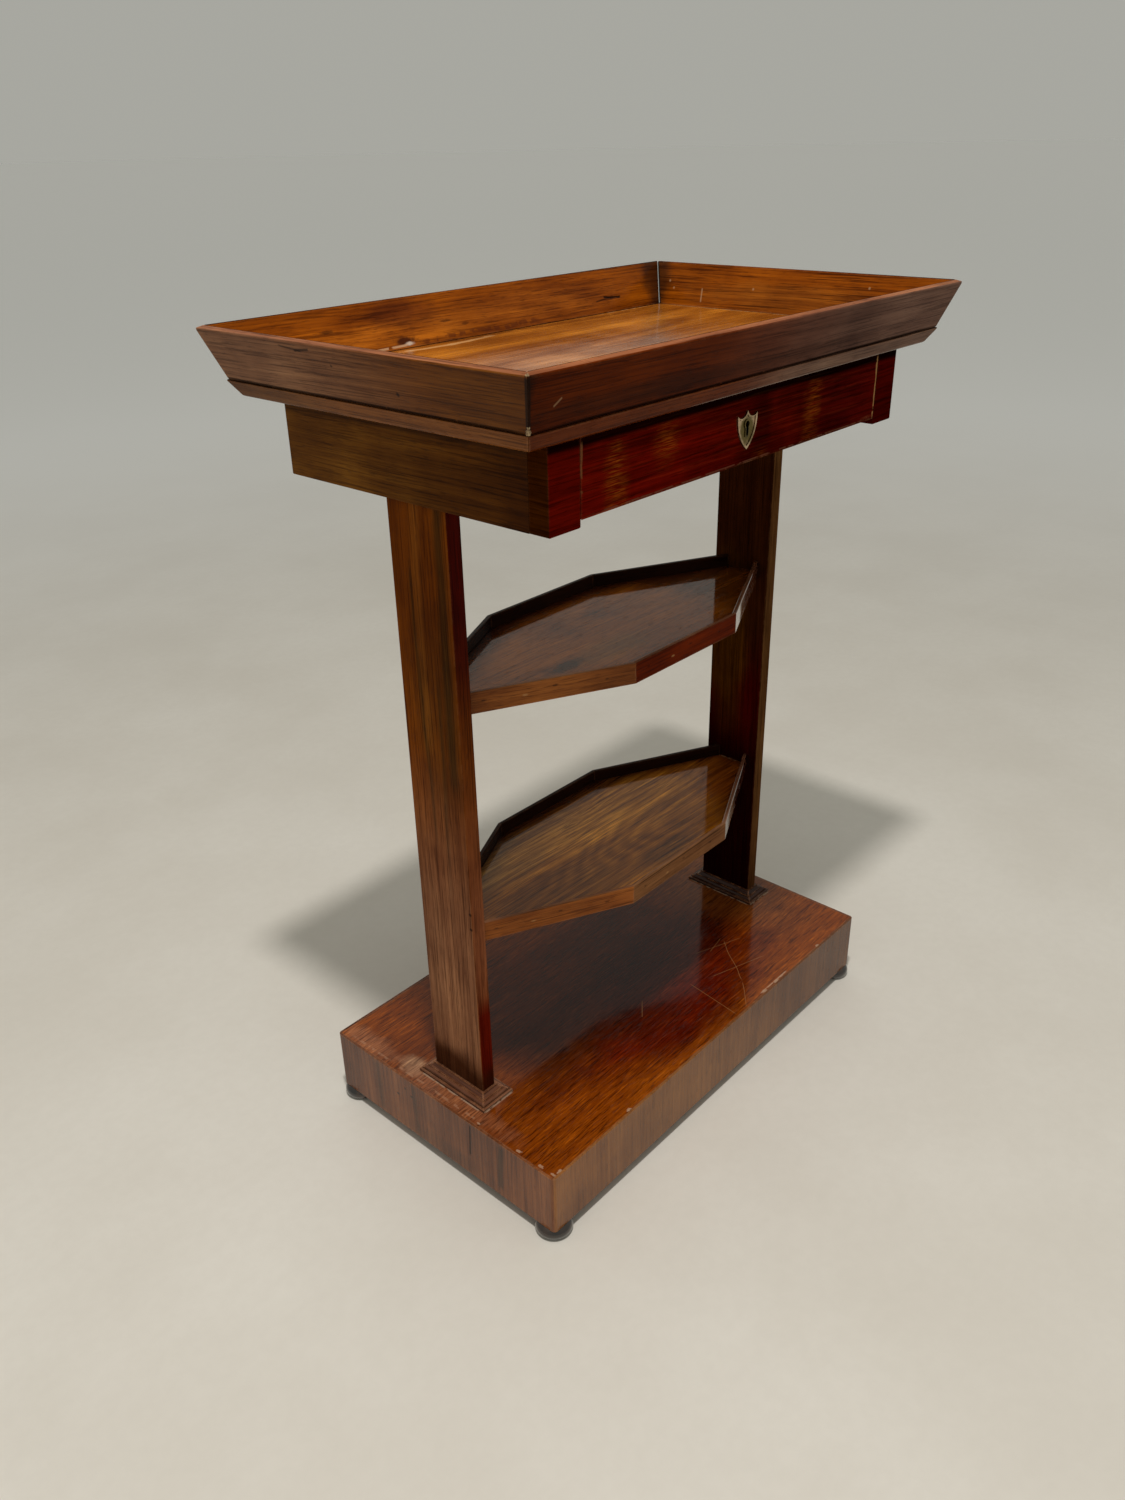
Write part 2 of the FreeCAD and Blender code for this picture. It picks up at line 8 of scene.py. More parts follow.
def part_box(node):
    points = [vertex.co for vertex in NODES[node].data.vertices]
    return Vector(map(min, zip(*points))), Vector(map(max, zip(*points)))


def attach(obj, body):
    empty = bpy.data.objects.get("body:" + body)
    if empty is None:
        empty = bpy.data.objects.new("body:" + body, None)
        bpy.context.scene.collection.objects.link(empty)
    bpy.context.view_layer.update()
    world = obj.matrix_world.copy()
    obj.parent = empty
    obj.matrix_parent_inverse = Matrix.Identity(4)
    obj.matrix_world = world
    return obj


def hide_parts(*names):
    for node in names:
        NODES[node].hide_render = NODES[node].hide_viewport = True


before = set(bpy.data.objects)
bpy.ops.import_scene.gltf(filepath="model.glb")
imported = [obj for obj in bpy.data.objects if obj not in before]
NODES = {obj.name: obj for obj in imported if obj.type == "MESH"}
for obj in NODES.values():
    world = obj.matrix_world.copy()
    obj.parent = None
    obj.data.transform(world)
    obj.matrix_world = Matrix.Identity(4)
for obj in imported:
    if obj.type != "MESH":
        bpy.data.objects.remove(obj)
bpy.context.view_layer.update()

X, Y, Z = 0, 1, 2
LEFT_FACE = (X, -1.0)
FRONT_FACE = (Y, -1.0)


# ---------------------------------------------------------------- node helpers

class Graph:
    """One material's node tree, with short calls for the nodes it uses."""

    def __init__(self, name):
        self.material = bpy.data.materials.new(name)
        self.material.use_nodes = True
        self.tree = self.material.node_tree
        self.shader = self.tree.nodes["Principled BSDF"]
        self.here = self.add("TexCoord").outputs["Object"]

    def feed(self, socket, value):
        if isinstance(value, bpy.types.NodeSocket):
            self.tree.links.new(value, socket)
        elif socket.type == "RGBA":
            socket.default_value = (*value[:3], 1.0)
        else:
            socket.default_value = value

    def add(self, kind, inputs=None, **settings):
        node = self.tree.nodes.new("ShaderNode" + kind)
        for key, value in settings.items():
            setattr(node, key, value)
        for key, value in (inputs or {}).items():
            self.feed(node.inputs[key], value)
        return node

    def set(self, **values):
        for key, value in values.items():
            self.feed(self.shader.inputs[key.replace("_", " ")], value)

    def math(self, operation, a, b=0.0, clamp=False):
        return self.add("Math", {0: a, 1: b}, operation=operation, use_clamp=clamp).outputs[0]

    def span(self, value, low, high, to_low=0.0, to_high=1.0, smooth=True):
        """Value from low..high onto to_low..to_high, held at both ends."""
        kind = "SMOOTHSTEP" if smooth else "LINEAR"
        inputs = {0: value, 1: low, 2: high, 3: to_low, 4: to_high}
        return self.add("MapRange", inputs, interpolation_type=kind).outputs[0]

    def mix(self, factor, a, b):
        return self.add("Mix", {0: factor, 6: a, 7: b}, data_type="RGBA").outputs[2]

    def move(self, vector, scale, offset=(0, 0, 0)):
        """Vector times scale plus offset."""
        inputs = {0: vector, 1: scale, 2: offset}
        return self.add("VectorMath", inputs, operation="MULTIPLY_ADD").outputs[0]

    def vector(self, operation, a, b=(0, 0, 0)):
        return self.add("VectorMath", {0: a, 1: b}, operation=operation)

    def noise(self, vector, scale=1.0, detail=2.0, rough=0.5, distort=0.0):
        inputs = {"Vector": vector, "Scale": scale, "Detail": detail,
                  "Roughness": rough, "Distortion": distort}
        return self.add("TexNoise", inputs).outputs[0]

    def ramp(self, factor, stops):
        node = self.add("ValToRGB", {0: factor})
        band = node.color_ramp
        band.elements.remove(band.elements[1])
        band.elements[0].position = stops[0][0]
        band.elements[0].color = (*stops[0][1], 1.0)
        for place, color in stops[1:]:
            band.elements.new(place).color = (*color, 1.0)
        return node.outputs[0]

    def blob(self, centre, radii, soft=0.5, wobble=0.35, scale=60.0):
        """1 inside an irregular patch round centre, 0 outside it."""
        inverse = tuple(1.0 / r for r in radii)
        offset = tuple(-c / r for c, r in zip(centre, radii))
        reach = self.vector("LENGTH", self.move(self.here, inverse, offset)).outputs["Value"]
        rough = self.noise(self.here, scale, 3.0, 0.6)
        reach = self.math("ADD", reach, self.span(rough, 0.2, 0.8, -wobble, wobble, False))
        return self.span(reach, 1.0 - soft, 1.0 + soft, 1.0, 0.0)

    def line(self, start, end, width, skip=None, wobble=0.0, scale=40.0, broken=0.0, soft=0.65):
        """1 along a thin line from start to end, 0 away from it.

        skip is an axis that isn't measured, and a broken line shows only in places.
        """
        keep = Vector([0.0 if i == skip else 1.0 for i in (X, Y, Z)])
        start, end = Vector(start) * keep, Vector(end) * keep
        middle, half = (start + end) / 2, (end - start).length / 2
        way = (end - start).normalized()
        from_middle = self.move(self.here, tuple(keep), tuple(-middle))
        along = self.vector("DOT_PRODUCT", from_middle, tuple(way)).outputs["Value"]
        back = self.add("VectorMath", {0: tuple(way), "Scale": along}, operation="SCALE").outputs[0]
        off = self.vector("SUBTRACT", from_middle, back).outputs[0]
        if wobble and skip is not None:
            drift = self.span(self.noise(self.here, scale, 2.0), 0.2, 0.8, -wobble, wobble, False)
            flat = Vector([1.0 if i == skip else 0.0 for i in (X, Y, Z)])
            push = {0: tuple(way.cross(flat)), "Scale": drift}
            push = self.add("VectorMath", push, operation="SCALE").outputs[0]
            off = self.vector("ADD", off, push).outputs[0]
        reach = self.vector("LENGTH", off).outputs["Value"]
        mask = self.span(reach, width * (1 - soft), width, 1.0, 0.0)
        ends = self.span(self.math("ABSOLUTE", along), half * 0.8, half, 1.0, 0.0)
        mask = self.math("MULTIPLY", mask, ends)
        if broken:
            gaps = self.noise(self.here, 160.0, 2.0)
            mask = self.math("MULTIPLY", mask, self.span(gaps, broken, broken + 0.1))
        return mask

    def facing(self, axis, sign=1.0, low=0.7, high=0.9):
        """1 on faces that look along an axis."""
        normal = self.add("NewGeometry").outputs["Normal"]
        part = self.add("SeparateXYZ", {0: normal}).outputs[axis]
        return self.span(self.math("MULTIPLY", part, sign), low, high)

    def mix_value(self, factor, a, b):
        return self.add("Mix", {0: factor, 2: a, 3: b}, data_type="FLOAT").outputs[0]

    def axis(self, index):
        return self.add("SeparateXYZ", {0: self.here}).outputs[index]


def tint(color, factor):
    """The colour made lighter or darker by a factor."""
    return tuple(min(c * factor, 1.0) for c in color)


def at(node, across, deep, high):
    """The point at these fractions of a node's box."""
    low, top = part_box(node)
    return Vector([a + (b - a) * f for a, b, f in zip(low, top, (across, deep, high))])


# Marks: (mask, colour, strength, roughness, height, flat). A tone mark changes the colour under
# the grain; a flat one covers the grain. THROUGH reaches from a mark's face right through a board.

THROUGH = 0.03


def patch(centre, radii, color, strength=0.6, rough=None, lift=0.0, flat=False, **shape):
    return (lambda g: g.blob(centre, radii, **shape)), color, strength, rough, lift, flat


def dot(centre, radius, color, strength=0.85):
    return patch(centre, (radius,) * 3, color, strength, 0.5, flat=True, wobble=0.25, scale=300.0)


def speck(centre, wide, high, strength=0.8):
    """A black speck on a face that looks along X."""
    radii = (THROUGH, wide, high)
    return patch(centre, radii, BLACK, strength, flat=True, wobble=0.2)


def stroke(start, end, width, color, strength=0.8, rough=None, lift=0.0, flat=True, **shape):
    return (lambda g: g.line(start, end, width, **shape)), color, strength, rough, lift, flat


def fade(axis, start, end, color, strength=0.6, rough=None, within=None, drift=0.012):
    """Colour that comes in from start to end along an axis, with a border that drifts a little.

    It shows on all faces, or on those that look along within, which is an axis and a sign.
    """
    def mask(g):
        sway = g.span(g.noise(g.here, 22.0, 3.0), 0.2, 0.8, -drift, drift, False)
        reach = g.span(g.math("ADD", g.axis(axis), sway), start, end)
        return g.math("MULTIPLY", reach, g.facing(*within)) if within else reach
    return mask, color, strength, rough, 0.0, False


def one_sided(marks, axis, sign):
    """The same marks, only on the faces that look along an axis."""
    def half(build):
        return lambda g: g.math("MULTIPLY", build(g), g.facing(axis, sign, 0.2, 0.4))
    return [(half(build), *rest) for build, *rest in marks]


def flecked(centre, radii, color, strength):
    """A patch that shows only as short flecks along X."""
    def mask(g):
        flecks = g.noise(g.move(g.here, (90.0, 900.0, 1500.0)), 1.0, 2.0)
        area = g.blob(centre, radii, 0.9, 0.35, 90.0)
        return g.math("MULTIPLY", area, g.span(flecks, 0.36, 0.68))
    return mask, color, strength, None, 0.0, False


def base_line(node, color):
    """A broken line along a node's foot, in the colour given: pale for dust, near-black for painted
    shade.
    """
    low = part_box(node)[0].z

    def mask(g):
        band = g.span(g.axis(Z), low + 0.0004, low + 0.0018, 1.0, 0.0)
        return g.math("MULTIPLY", band, g.span(g.noise(g.here, 130.0, 3.0), 0.35, 0.5))
    return mask, color, 0.8, 0.6, 0.0, True


def side_color(axis, sign, color, strength=0.7, rough=None, low=0.7, high=0.9):
    """Colour on the faces that look along an axis."""
    return (lambda g: g.facing(axis, sign, low, high)), color, strength, rough, 0.0, False


def grain_place(g, offset, bend, stretch, turn, wrap):
    """Where the grain is read: the object's own place, turned or wrapped, moved off and bent."""
    here = g.here
    if wrap:
        run = g.math("ADD", g.axis(X), g.axis(Y))
        here = g.add("CombineXYZ", {0: run, 2: g.axis(Z)}).outputs[0]
    if turn:
        here = g.add("VectorRotate", {"Vector": here, "Angle": turn},
                     rotation_type="Z_AXIS").outputs[0]
    here = g.move(here, (1, 1, 1), offset)
    sway = g.add("TexNoise", {"Vector": g.move(here, stretch(7.0, 2.2)), "Scale": 1.0,
                              "Detail": 2.0}).outputs["Color"]
    return g.vector("ADD", here, g.move(sway, (bend,) * 3, (-bend / 2,) * 3)).outputs[0]


def grain_shade(g, figures, broad, fine, patches, figure, streak, blotch, deep, pale):
    """The grain's light and dark round a middle grey, which leaves the tone as it is."""
    value = g.math("MULTIPLY_ADD", figures, 0.10 * figure)
    value.node.inputs[2].default_value = 0.5
    for source, weight in ((broad, streak * 0.55), (fine, streak * 0.95), (patches, blotch)):
        part = g.span(source, 0.25, 0.75, -weight / 2, weight / 2, False)
        value = g.math("ADD", value, part)
    return g.ramp(value, [
        (0.10, tint((0.5, 0.37, 0.34), deep)),
        (0.36, tint((0.5, 0.45, 0.44), (1 + deep) / 2)),
        (0.56, (0.5, 0.5, 0.5)),
        (0.92, tint((0.5, 0.56, 0.58), pale)),
    ])


def add_marks(g, marks, field, rough, height):
    """Tone, roughness and height with the marks on, and the flat marks for later."""
    flats = []
    for build, mark_color, strength, mark_rough, lift, flat in marks:
        mask = build(g)
        amount = g.math("MULTIPLY", mask, strength)
        if flat:
            flats.append((amount, mark_color))
        else:
            field = g.mix(amount, field, mark_color)
        if mark_rough is not None:
            rough = g.mix_value(amount, rough, mark_rough)
        if lift:
            height = g.math("ADD", height, g.math("MULTIPLY", mask, lift))
    return field, rough, height, flats


WORN = (0.34, 0.150, 0.070)
# Near-black for painted shade in corners and along feet, with grime.
SHADE_AND_GRIME = (0.012, 0.005, 0.003)
RUBBED_WIDTH = 0.0022
CORNER_SHADE_REACH = 0.011


def age(g, here, color, rough, wear, corner_shade):
    """Arrises rubbed pale, and corners and creases darker and rougher: painted shade there, with
    grime.
    """
    normal = g.add("NewGeometry").outputs["Normal"]
    rounded = g.add("Bevel", {"Radius": RUBBED_WIDTH}, samples=4).outputs[0]
    edge = g.vector("DOT_PRODUCT", rounded, normal).outputs["Value"]
    edge = g.span(edge, 0.80, 0.985, 1.0, 0.0)
    rub = g.span(g.noise(here, 95.0, 4.0, 0.7), 0.40, 0.62)
    edge = g.math("MULTIPLY", edge, g.span(rub, 0.0, 1.0, 0.2, 1.0))
    # Ambient occlusion darkens corners and creases: painted shade, and grime that roughens them.
    corner = g.add("AmbientOcclusion", {"Distance": CORNER_SHADE_REACH}, samples=4).outputs["AO"]
    corner_shade_and_grime = g.span(corner, 0.25, 0.72, 1.0, 0.0)
    corner_shade_and_grime = g.math("MULTIPLY", corner_shade_and_grime, g.span(g.noise(here, 40.0, 3.0), 0.2, 0.6, 0.5, 1.0))
    open_edge = g.math("MULTIPLY", edge, g.math("SUBTRACT", 1.0, corner_shade_and_grime, clamp=True))
    color = g.mix(g.math("MULTIPLY", open_edge, wear), color, WORN)
    rough = g.math("ADD", rough, g.math("MULTIPLY", open_edge, 0.18))
    color = g.mix(g.math("MULTIPLY", corner_shade_and_grime, corner_shade), color, SHADE_AND_GRIME)
    rough = g.math("ADD", rough, g.math("MULTIPLY", corner_shade_and_grime, 0.3))
    return color, rough


def wood(name, along, tone, offset, *, figure=0.3, streak=0.5, blotch=0.5, bend=0.010,
         wear=0.5, corner_shade=0.8, gloss=0.10, coat=0.3, specular=0.5, deep=0.30, pale=1.8,
         fleck=0.7, gold=0.0, short=1.0, rings=70.0, ripple=0.5, turn=0.0, wrap=False, marks=()):
    """French-polished mahogany: figure, streaks and pores along one axis, worn at its edges.

    turn swings the grain about Z, wrap carries it round a corner between X and Y faces, short
    shortens its flecks and gold adds pale ones.
    """
    g = Graph(name)

    def stretch(across, length):
        return tuple(length if i == along else across for i in (X, Y, Z))

    here = grain_place(g, offset, bend, stretch, turn, wrap)
    rings_at = g.noise(g.move(here, stretch(9.0, 1.6)), 1.0, 1.5, 0.4, 0.3)
    figures = g.math("SINE", g.math("MULTIPLY", rings_at, rings))
    broad = g.noise(g.move(here, stretch(34.0, 2.2)), 1.0, 3.0, 0.6)
    fine = g.noise(g.move(here, stretch(330.0, 5.0 * short)), 1.0, 4.0, 0.75)
    flecks = g.noise(g.move(here, stretch(760.0, 13.0 * short)), 1.0, 3.0, 0.7)
    pores = g.noise(g.move(here, stretch(1300.0, 90.0)), 1.0, 1.0)
    patches = g.noise(here, 8.0, 4.0, 0.6)

    shade = grain_shade(g, figures, broad, fine, patches, figure, streak, blotch, deep, pale)
    rough = g.span(patches, 0.3, 0.7, gloss * 0.7, gloss * 1.5, False)
    height = g.math("MULTIPLY", fine, 0.5)
    field, rough, height, flats = add_marks(g, marks, tone, rough, height)

    color = g.vector("MULTIPLY", field, shade).outputs[0]
    color = g.add("VectorMath", {0: color, "Scale": 2.0}, operation="SCALE").outputs[0]
    dark = g.vector("MULTIPLY", color, (0.30, 0.25, 0.22)).outputs[0]
    color = g.mix(g.span(flecks, 0.50, 0.64, 0.0, fleck), color, dark)
    if gold:
        glints = g.noise(g.move(here, stretch(540.0, 16.0 * short), (3.0, 1.0, 2.0)), 1.0, 3.0, 0.6)
        light = g.move(color, (1.8, 2.0, 2.0), (0.022, 0.010, 0.0015))
        color = g.mix(g.span(glints, 0.52, 0.66, 0.0, gold), color, light)
    hole = g.span(pores, 0.60, 0.70)
    color = g.mix(g.math("MULTIPLY", hole, 0.45), color, dark)
    rough = g.math("ADD", rough, g.math("MULTIPLY", hole, 0.12))
    height = g.math("SUBTRACT", height, g.math("MULTIPLY", hole, 0.9))

    color, rough = age(g, here, color, rough, wear, corner_shade)
    for amount, mark_color in flats:
        color = g.mix(amount, color, mark_color)

    swell = g.noise(here, 16.0, 2.0, 0.4)
    slow = g.add("Bump", {"Strength": ripple, "Distance": 0.0009, "Height": swell})
    quick = g.add("Bump", {"Strength": 0.5, "Distance": 0.00010, "Height": height,
                           "Normal": slow.outputs[0]})
    g.set(Base_Color=color, Roughness=rough, IOR=1.5, Specular_IOR_Level=specular,
          Coat_Weight=coat, Coat_Roughness=0.05, Normal=quick.outputs[0],
          Coat_Normal=slow.outputs[0])
    return g.material


SAME_POINT = 0.00002


def finish_cad(name, material, bevel=0.0):
    """Gives a CAD node its material and, where asked, softly rounded arrises."""
    obj = NODES[name]
    for slot in obj.material_slots:
        slot.material = material
    if bevel:
        soften(obj, bevel)


def soften(obj, width):
    """Rounds an object's sharp edges."""
    obj.modifiers.new("join", "WELD").merge_threshold = SAME_POINT
    arris = obj.modifiers.new("arris", "BEVEL")
    arris.width = width
    arris.segments = 2
    arris.limit_method = "ANGLE"
    arris.angle_limit = math.radians(28)
    obj.modifiers.new("shade", "WEIGHTED_NORMAL").weight = 80


# -------------------------------------------------------------------- woods

TRAY_TONE = (0.460, 0.150, 0.014)
BOARD_TONE = (0.280, 0.066, 0.002)
FACE_TONE = (0.115, 0.028, 0.003)
DEEP_TONE = (0.160, 0.0045, 0.0008)
SIDE_TONE = (0.105, 0.032, 0.003)
POST_TONE = (0.165, 0.038, 0.0016)
SHELF_TONE = (0.340, 0.100, 0.004)
BLACK_TONE = (0.022, 0.006, 0.002)
PLINTH_TONE = (0.215, 0.044, 0.002)
RAIL_TONE = (0.172, 0.056, 0.020)

PINK = (0.36, 0.130, 0.055)
TAN = (0.50, 0.26, 0.10)
CHIP = (0.50, 0.31, 0.16)
BLACK = (0.008, 0.003, 0.002)
OLIVE = (0.040, 0.022, 0.005)
SIDE_END = (0.050, 0.0110, 0.0006)
RED_BAND = (0.088, 0.0036, 0.0003)

# Pale pink upper faces of the tray's boards: wear, and a painted highlight.
TOP_WEAR_AND_HIGHLIGHT = side_color(Z, 1.0, PINK, 0.75, 0.35, 0.80, 0.92)

FLAT = dict(specular=0.30, gloss=0.09, coat=0.06)
UPRIGHT = dict(specular=0.06, coat=0.0, gloss=0.16)


def options(base, **more):
    return {**base, **more}


def floor_marks(node="tray_floor"):
    def top(across, deep):
        return at(node, across, deep, 1.0)
    return [
        patch(top(0.398, 0.60), (0.10, 0.035, 0.02), (0.42, 0.20, 0.11), 0.55, 0.24),
        patch(top(0.20, 0.25), (0.12, 0.06, 0.02), (0.40, 0.17, 0.07), 0.4, 0.2),
        stroke(top(0.300, 0.966), top(0.410, 0.948), 0.0034, (0.72, 0.40, 0.16), 0.8, skip=Z,
               wobble=0.002, scale=30.0),
        stroke(top(0.385, 0.948), top(0.515, 0.972), 0.0042, (0.72, 0.40, 0.16), 0.8, skip=Z,
               wobble=0.002, scale=30.0),
        stroke(top(0.38, 0.99), top(0.95, 0.96), 0.006, (0.10, 0.025, 0.003), 0.6, skip=Z,
               wobble=0.006, scale=14.0, broken=0.35),
        stroke(top(0.997, 0.02), top(0.997, 0.98), 0.0014, CHIP, 0.55, 0.5, skip=Z, broken=0.40),
        stroke(top(0.80, 0.995), top(0.99, 0.995), 0.0012, CHIP, 0.5, 0.5, skip=Z, broken=0.45),
    ]


def back_board_marks(node="tray_board_back"):
    def spot(across, high):
        return at(node, across, 0.3, high)
    return one_sided([
        patch(spot(0.30, 0.25), (0.085, THROUGH, 0.010), (0.46, 0.130, 0.008), 0.7),
        patch(spot(0.62, 0.45), (0.10, THROUGH, 0.012), (0.30, 0.085, 0.010), 0.4),
        patch(spot(0.345, 0.72), (0.030, THROUGH, 0.010), (0.10, 0.020, 0.005), 0.6),
        stroke(spot(0.812, 0.36), spot(0.862, 0.30), 0.0013, BLACK, 0.95, 0.6, -4.0, skip=Y,
               wobble=0.001, scale=90.0),
        stroke(spot(0.79, 0.28), spot(0.83, 0.33), 0.0009, BLACK, 0.7, 0.6, skip=Y),
        # Dark at the right end, in the corner with the right board: painted shade.
        patch(spot(0.975, 0.5), (0.017, THROUGH, 0.05), (0.030, 0.012, 0.006), 0.75),
        patch(spot(0.338, 0.15), (0.011, THROUGH, 0.0028), (0.035, 0.006, 0.003), 0.9, 0.4, -3.0,
              flat=True, wobble=0.5, scale=140.0),
        patch(spot(0.346, 0.09), (0.0040, THROUGH, 0.0012), (0.62, 0.50, 0.40), 0.9, 0.5, flat=True,
              scale=200.0),
        stroke(spot(0.255, 0.05), spot(0.345, 0.07), 0.0011, (0.60, 0.36, 0.20), 0.8, skip=Y,
               broken=0.30),
        stroke(spot(0.35, 0.10), spot(0.66, 0.10), 0.0024, (0.090, 0.018, 0.004), 0.65, skip=Y,
               wobble=0.002, scale=50.0, broken=0.42),
        patch(spot(0.20, 0.55), (0.006, THROUGH, 0.0012), BLACK, 0.6, flat=True, scale=200.0),
        patch(spot(0.43, 0.42), (0.006, THROUGH, 0.0010), BLACK, 0.5, flat=True, scale=200.0),
        patch(spot(0.47, 0.30), (0.004, THROUGH, 0.0010), BLACK, 0.5, flat=True, scale=200.0),
    ], *FRONT_FACE) + [TOP_WEAR_AND_HIGHLIGHT]


def right_board_marks(node="tray_board_right"):
    def spot(deep, high):
        return at(node, 0.3, deep, high)
    dots = [patch(spot(deep, high), (THROUGH, 0.0009, 0.0009), CHIP, 0.5, 0.5, flat=True,
                  wobble=0.2)
            for deep, high in ((0.925, 0.56), (0.905, 0.40), (0.62, 0.50), (0.25, 0.7))]
    return dots + [
        stroke(spot(0.795, 0.10), spot(0.800, 0.45), 0.0010, CHIP, 0.5, 0.5, skip=X),
        # Dark at the back end, at the corner with the back board: painted shade.
        patch(spot(0.975, 0.5), (THROUGH, 0.013, 0.05), (0.030, 0.012, 0.006), 0.75),
        patch(spot(0.45, 0.35), (THROUGH, 0.10, 0.010), (0.30, 0.095, 0.010), 0.5),
        TOP_WEAR_AND_HIGHLIGHT,
    ]


def near_mitre():
    """Foot and head of the tray's open near mitre, on its outer corner."""
    low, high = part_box("tray_board_left")
    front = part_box("tray_board_front")[0]
    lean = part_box("tray_moulding_left")[0].x - low.x
    return (Vector((low.x + lean + 0.0012, front.y + lean + 0.0012, low.z)),
            Vector((low.x, front.y, high.z)))


def mitre_shadow():
    return stroke(*near_mitre(), 0.0021, (0.013, 0.005, 0.003), 0.9, 0.5, soft=0.5)


def front_board_marks(node="tray_board_front"):
    def spot(across, high):
        return at(node, across, 0.4, high)
    return [
        fade(X, -0.10, 0.12, (0.150, 0.082, 0.058), 0.8, 0.28),
        patch(spot(0.22, 0.25), (0.10, THROUGH, 0.006), (0.045, 0.010, 0.003), 0.6),
        patch(spot(0.50, 0.2), (0.14, THROUGH, 0.005), (0.045, 0.010, 0.003), 0.5),
        stroke(spot(0.054, 0.37), spot(0.066, 0.50), 0.0010, CHIP, 0.35, 0.5, skip=Y),
        patch(spot(0.0, 0.5), (0.007, THROUGH, 0.06), (0.020, 0.008, 0.004), 0.7),
        stroke(spot(0.0, 0.02), spot(1.0, 0.02), 0.0012, BLACK, 0.8, 0.6, skip=Y, broken=0.25),
        mitre_shadow(),
        TOP_WEAR_AND_HIGHLIGHT,
    ]


def left_board_marks(node="tray_board_left"):
    def spot(deep, high):
        return at(node, 0.4, deep, high)
    return [
        fade(Y, -0.10, 0.10, (0.270, 0.130, 0.070), 0.70, 0.28),
        patch(spot(0.10, 0.45), (THROUGH, 0.05, 0.03), (0.110, 0.038, 0.006), 0.3),
        stroke(spot(0.60, 0.86), spot(0.66, 0.80), 0.0012, BLACK, 0.7, 0.5, skip=X, broken=0.3),
        stroke(spot(0.63, 0.80), spot(0.71, 0.86), 0.0009, BLACK, 0.6, 0.5, skip=X, broken=0.3),
        speck(spot(0.37, 0.30), 0.0013, 0.0013),
        speck(spot(0.55, 0.62), 0.0009, 0.0009, 0.7),
        stroke(spot(0.0, 0.02), spot(1.0, 0.02), 0.0012, BLACK, 0.8, 0.6, skip=X, broken=0.25),
        mitre_shadow(),
        TOP_WEAR_AND_HIGHLIGHT,
    ]


def front_moulding_marks(node="tray_moulding_front"):
    return [
        fade(X, -0.06, 0.06, (0.205, 0.120, 0.080), 0.8),
        # A pale grey line near the lower edge: painted highlight.
        stroke(at(node, 0.30, 0.0, 0.06), at(node, 1.0, 0.0, 0.06), 0.0009, (0.36, 0.30, 0.26), 0.6,
               skip=Y, soft=0.9),
    ]


def left_end_marks():
    """The left box end: warmer toward the back, darker toward the front, and painted shade just
    under the moulding.
    """
    return [
        fade(Y, -0.06, 0.06, (0.215, 0.082, 0.009), 0.85),
        fade(Y, -0.055, -0.110, (0.060, 0.0150, 0.0008), 0.95),
        # A dark band just under the moulding: painted shade.
        fade(Z, 0.6105, 0.6155, (0.030, 0.0100, 0.0020), 0.6, drift=0.0008),
    ]


def moulding_shade(node, down):
    """The dark line under the tray's moulding, this far down from a node's upper edge."""
    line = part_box(node)[1].z - down
    return fade(Z, line - 0.0022, line + 0.0012, (0.004, 0.0006, 0.0003), 0.95,
                within=FRONT_FACE, drift=0.0005)


def stile_marks(node, outward):
    """End grain on a stile's outer side, and the moulding's shade on its front."""
    return [side_color(X, outward, SIDE_END, 1.0), moulding_shade(node, 0.0075)]


def drawer_marks(node="drawer_front"):
    def spot(across, high):
        return at(node, across, 0.0, high)
    faded = (0.36, 0.085, 0.006)
    return [
        # Two dark patches near the top: painted shade under the tray's moulding.
        patch(spot(0.30, 0.85), (0.120, THROUGH, 0.012), (0.060, 0.0020, 0.0004), 0.6, scale=30.0),
        patch(spot(0.80, 0.90), (0.080, THROUGH, 0.010), (0.050, 0.0030, 0.0006), 0.5, scale=30.0),
        fade(X, 0.020, 0.024, (0.150, 0.0085, 0.0018), 0.5),
        fade(X, 0.050, 0.125, (0.066, 0.0022, 0.0010), 1.0),
        patch(spot(0.46, 0.12), (0.055, THROUGH, 0.014), (0.085, 0.0025, 0.0005), 0.7, scale=30.0),
        patch(spot(0.545, 0.50), (0.012, THROUGH, 0.022), (0.020, 0.002, 0.001), 0.5, scale=30.0),
        flecked(spot(0.095, 0.30), (0.0085, THROUGH, 0.018), faded, 0.75),
        flecked(spot(0.090, 0.66), (0.0070, THROUGH, 0.007), faded, 0.5),
        flecked(spot(0.235, 0.62), (0.0100, THROUGH, 0.012), faded, 0.5),
        flecked(spot(0.728, 0.30), (0.0085, THROUGH, 0.020), faded, 0.75),
        flecked(spot(0.742, 0.75), (0.0070, THROUGH, 0.016), faded, 0.6),
        flecked(spot(0.545, 0.05), (0.0080, THROUGH, 0.004), faded, 0.7),
        moulding_shade(node, 0.0058),
        stroke(spot(0.002, 0.30), spot(0.002, 1.0), 0.0012, (0.30, 0.13, 0.05), 0.5, 0.5, skip=Y,
               broken=0.42, wobble=0.0006, scale=110.0),
        stroke(spot(0.998, 0.0), spot(0.998, 1.0), 0.0022, TAN, 0.75, 0.5, skip=Y, broken=0.30,
               wobble=0.0010, scale=110.0),
        # A thin pinkish line near the lower edge: painted highlight on the arris.
        stroke(spot(0.0, 0.035), spot(1.0, 0.035), 0.0007, (0.22, 0.085, 0.050), 0.45, skip=Y,
               broken=0.40, wobble=0.0003),
    ]


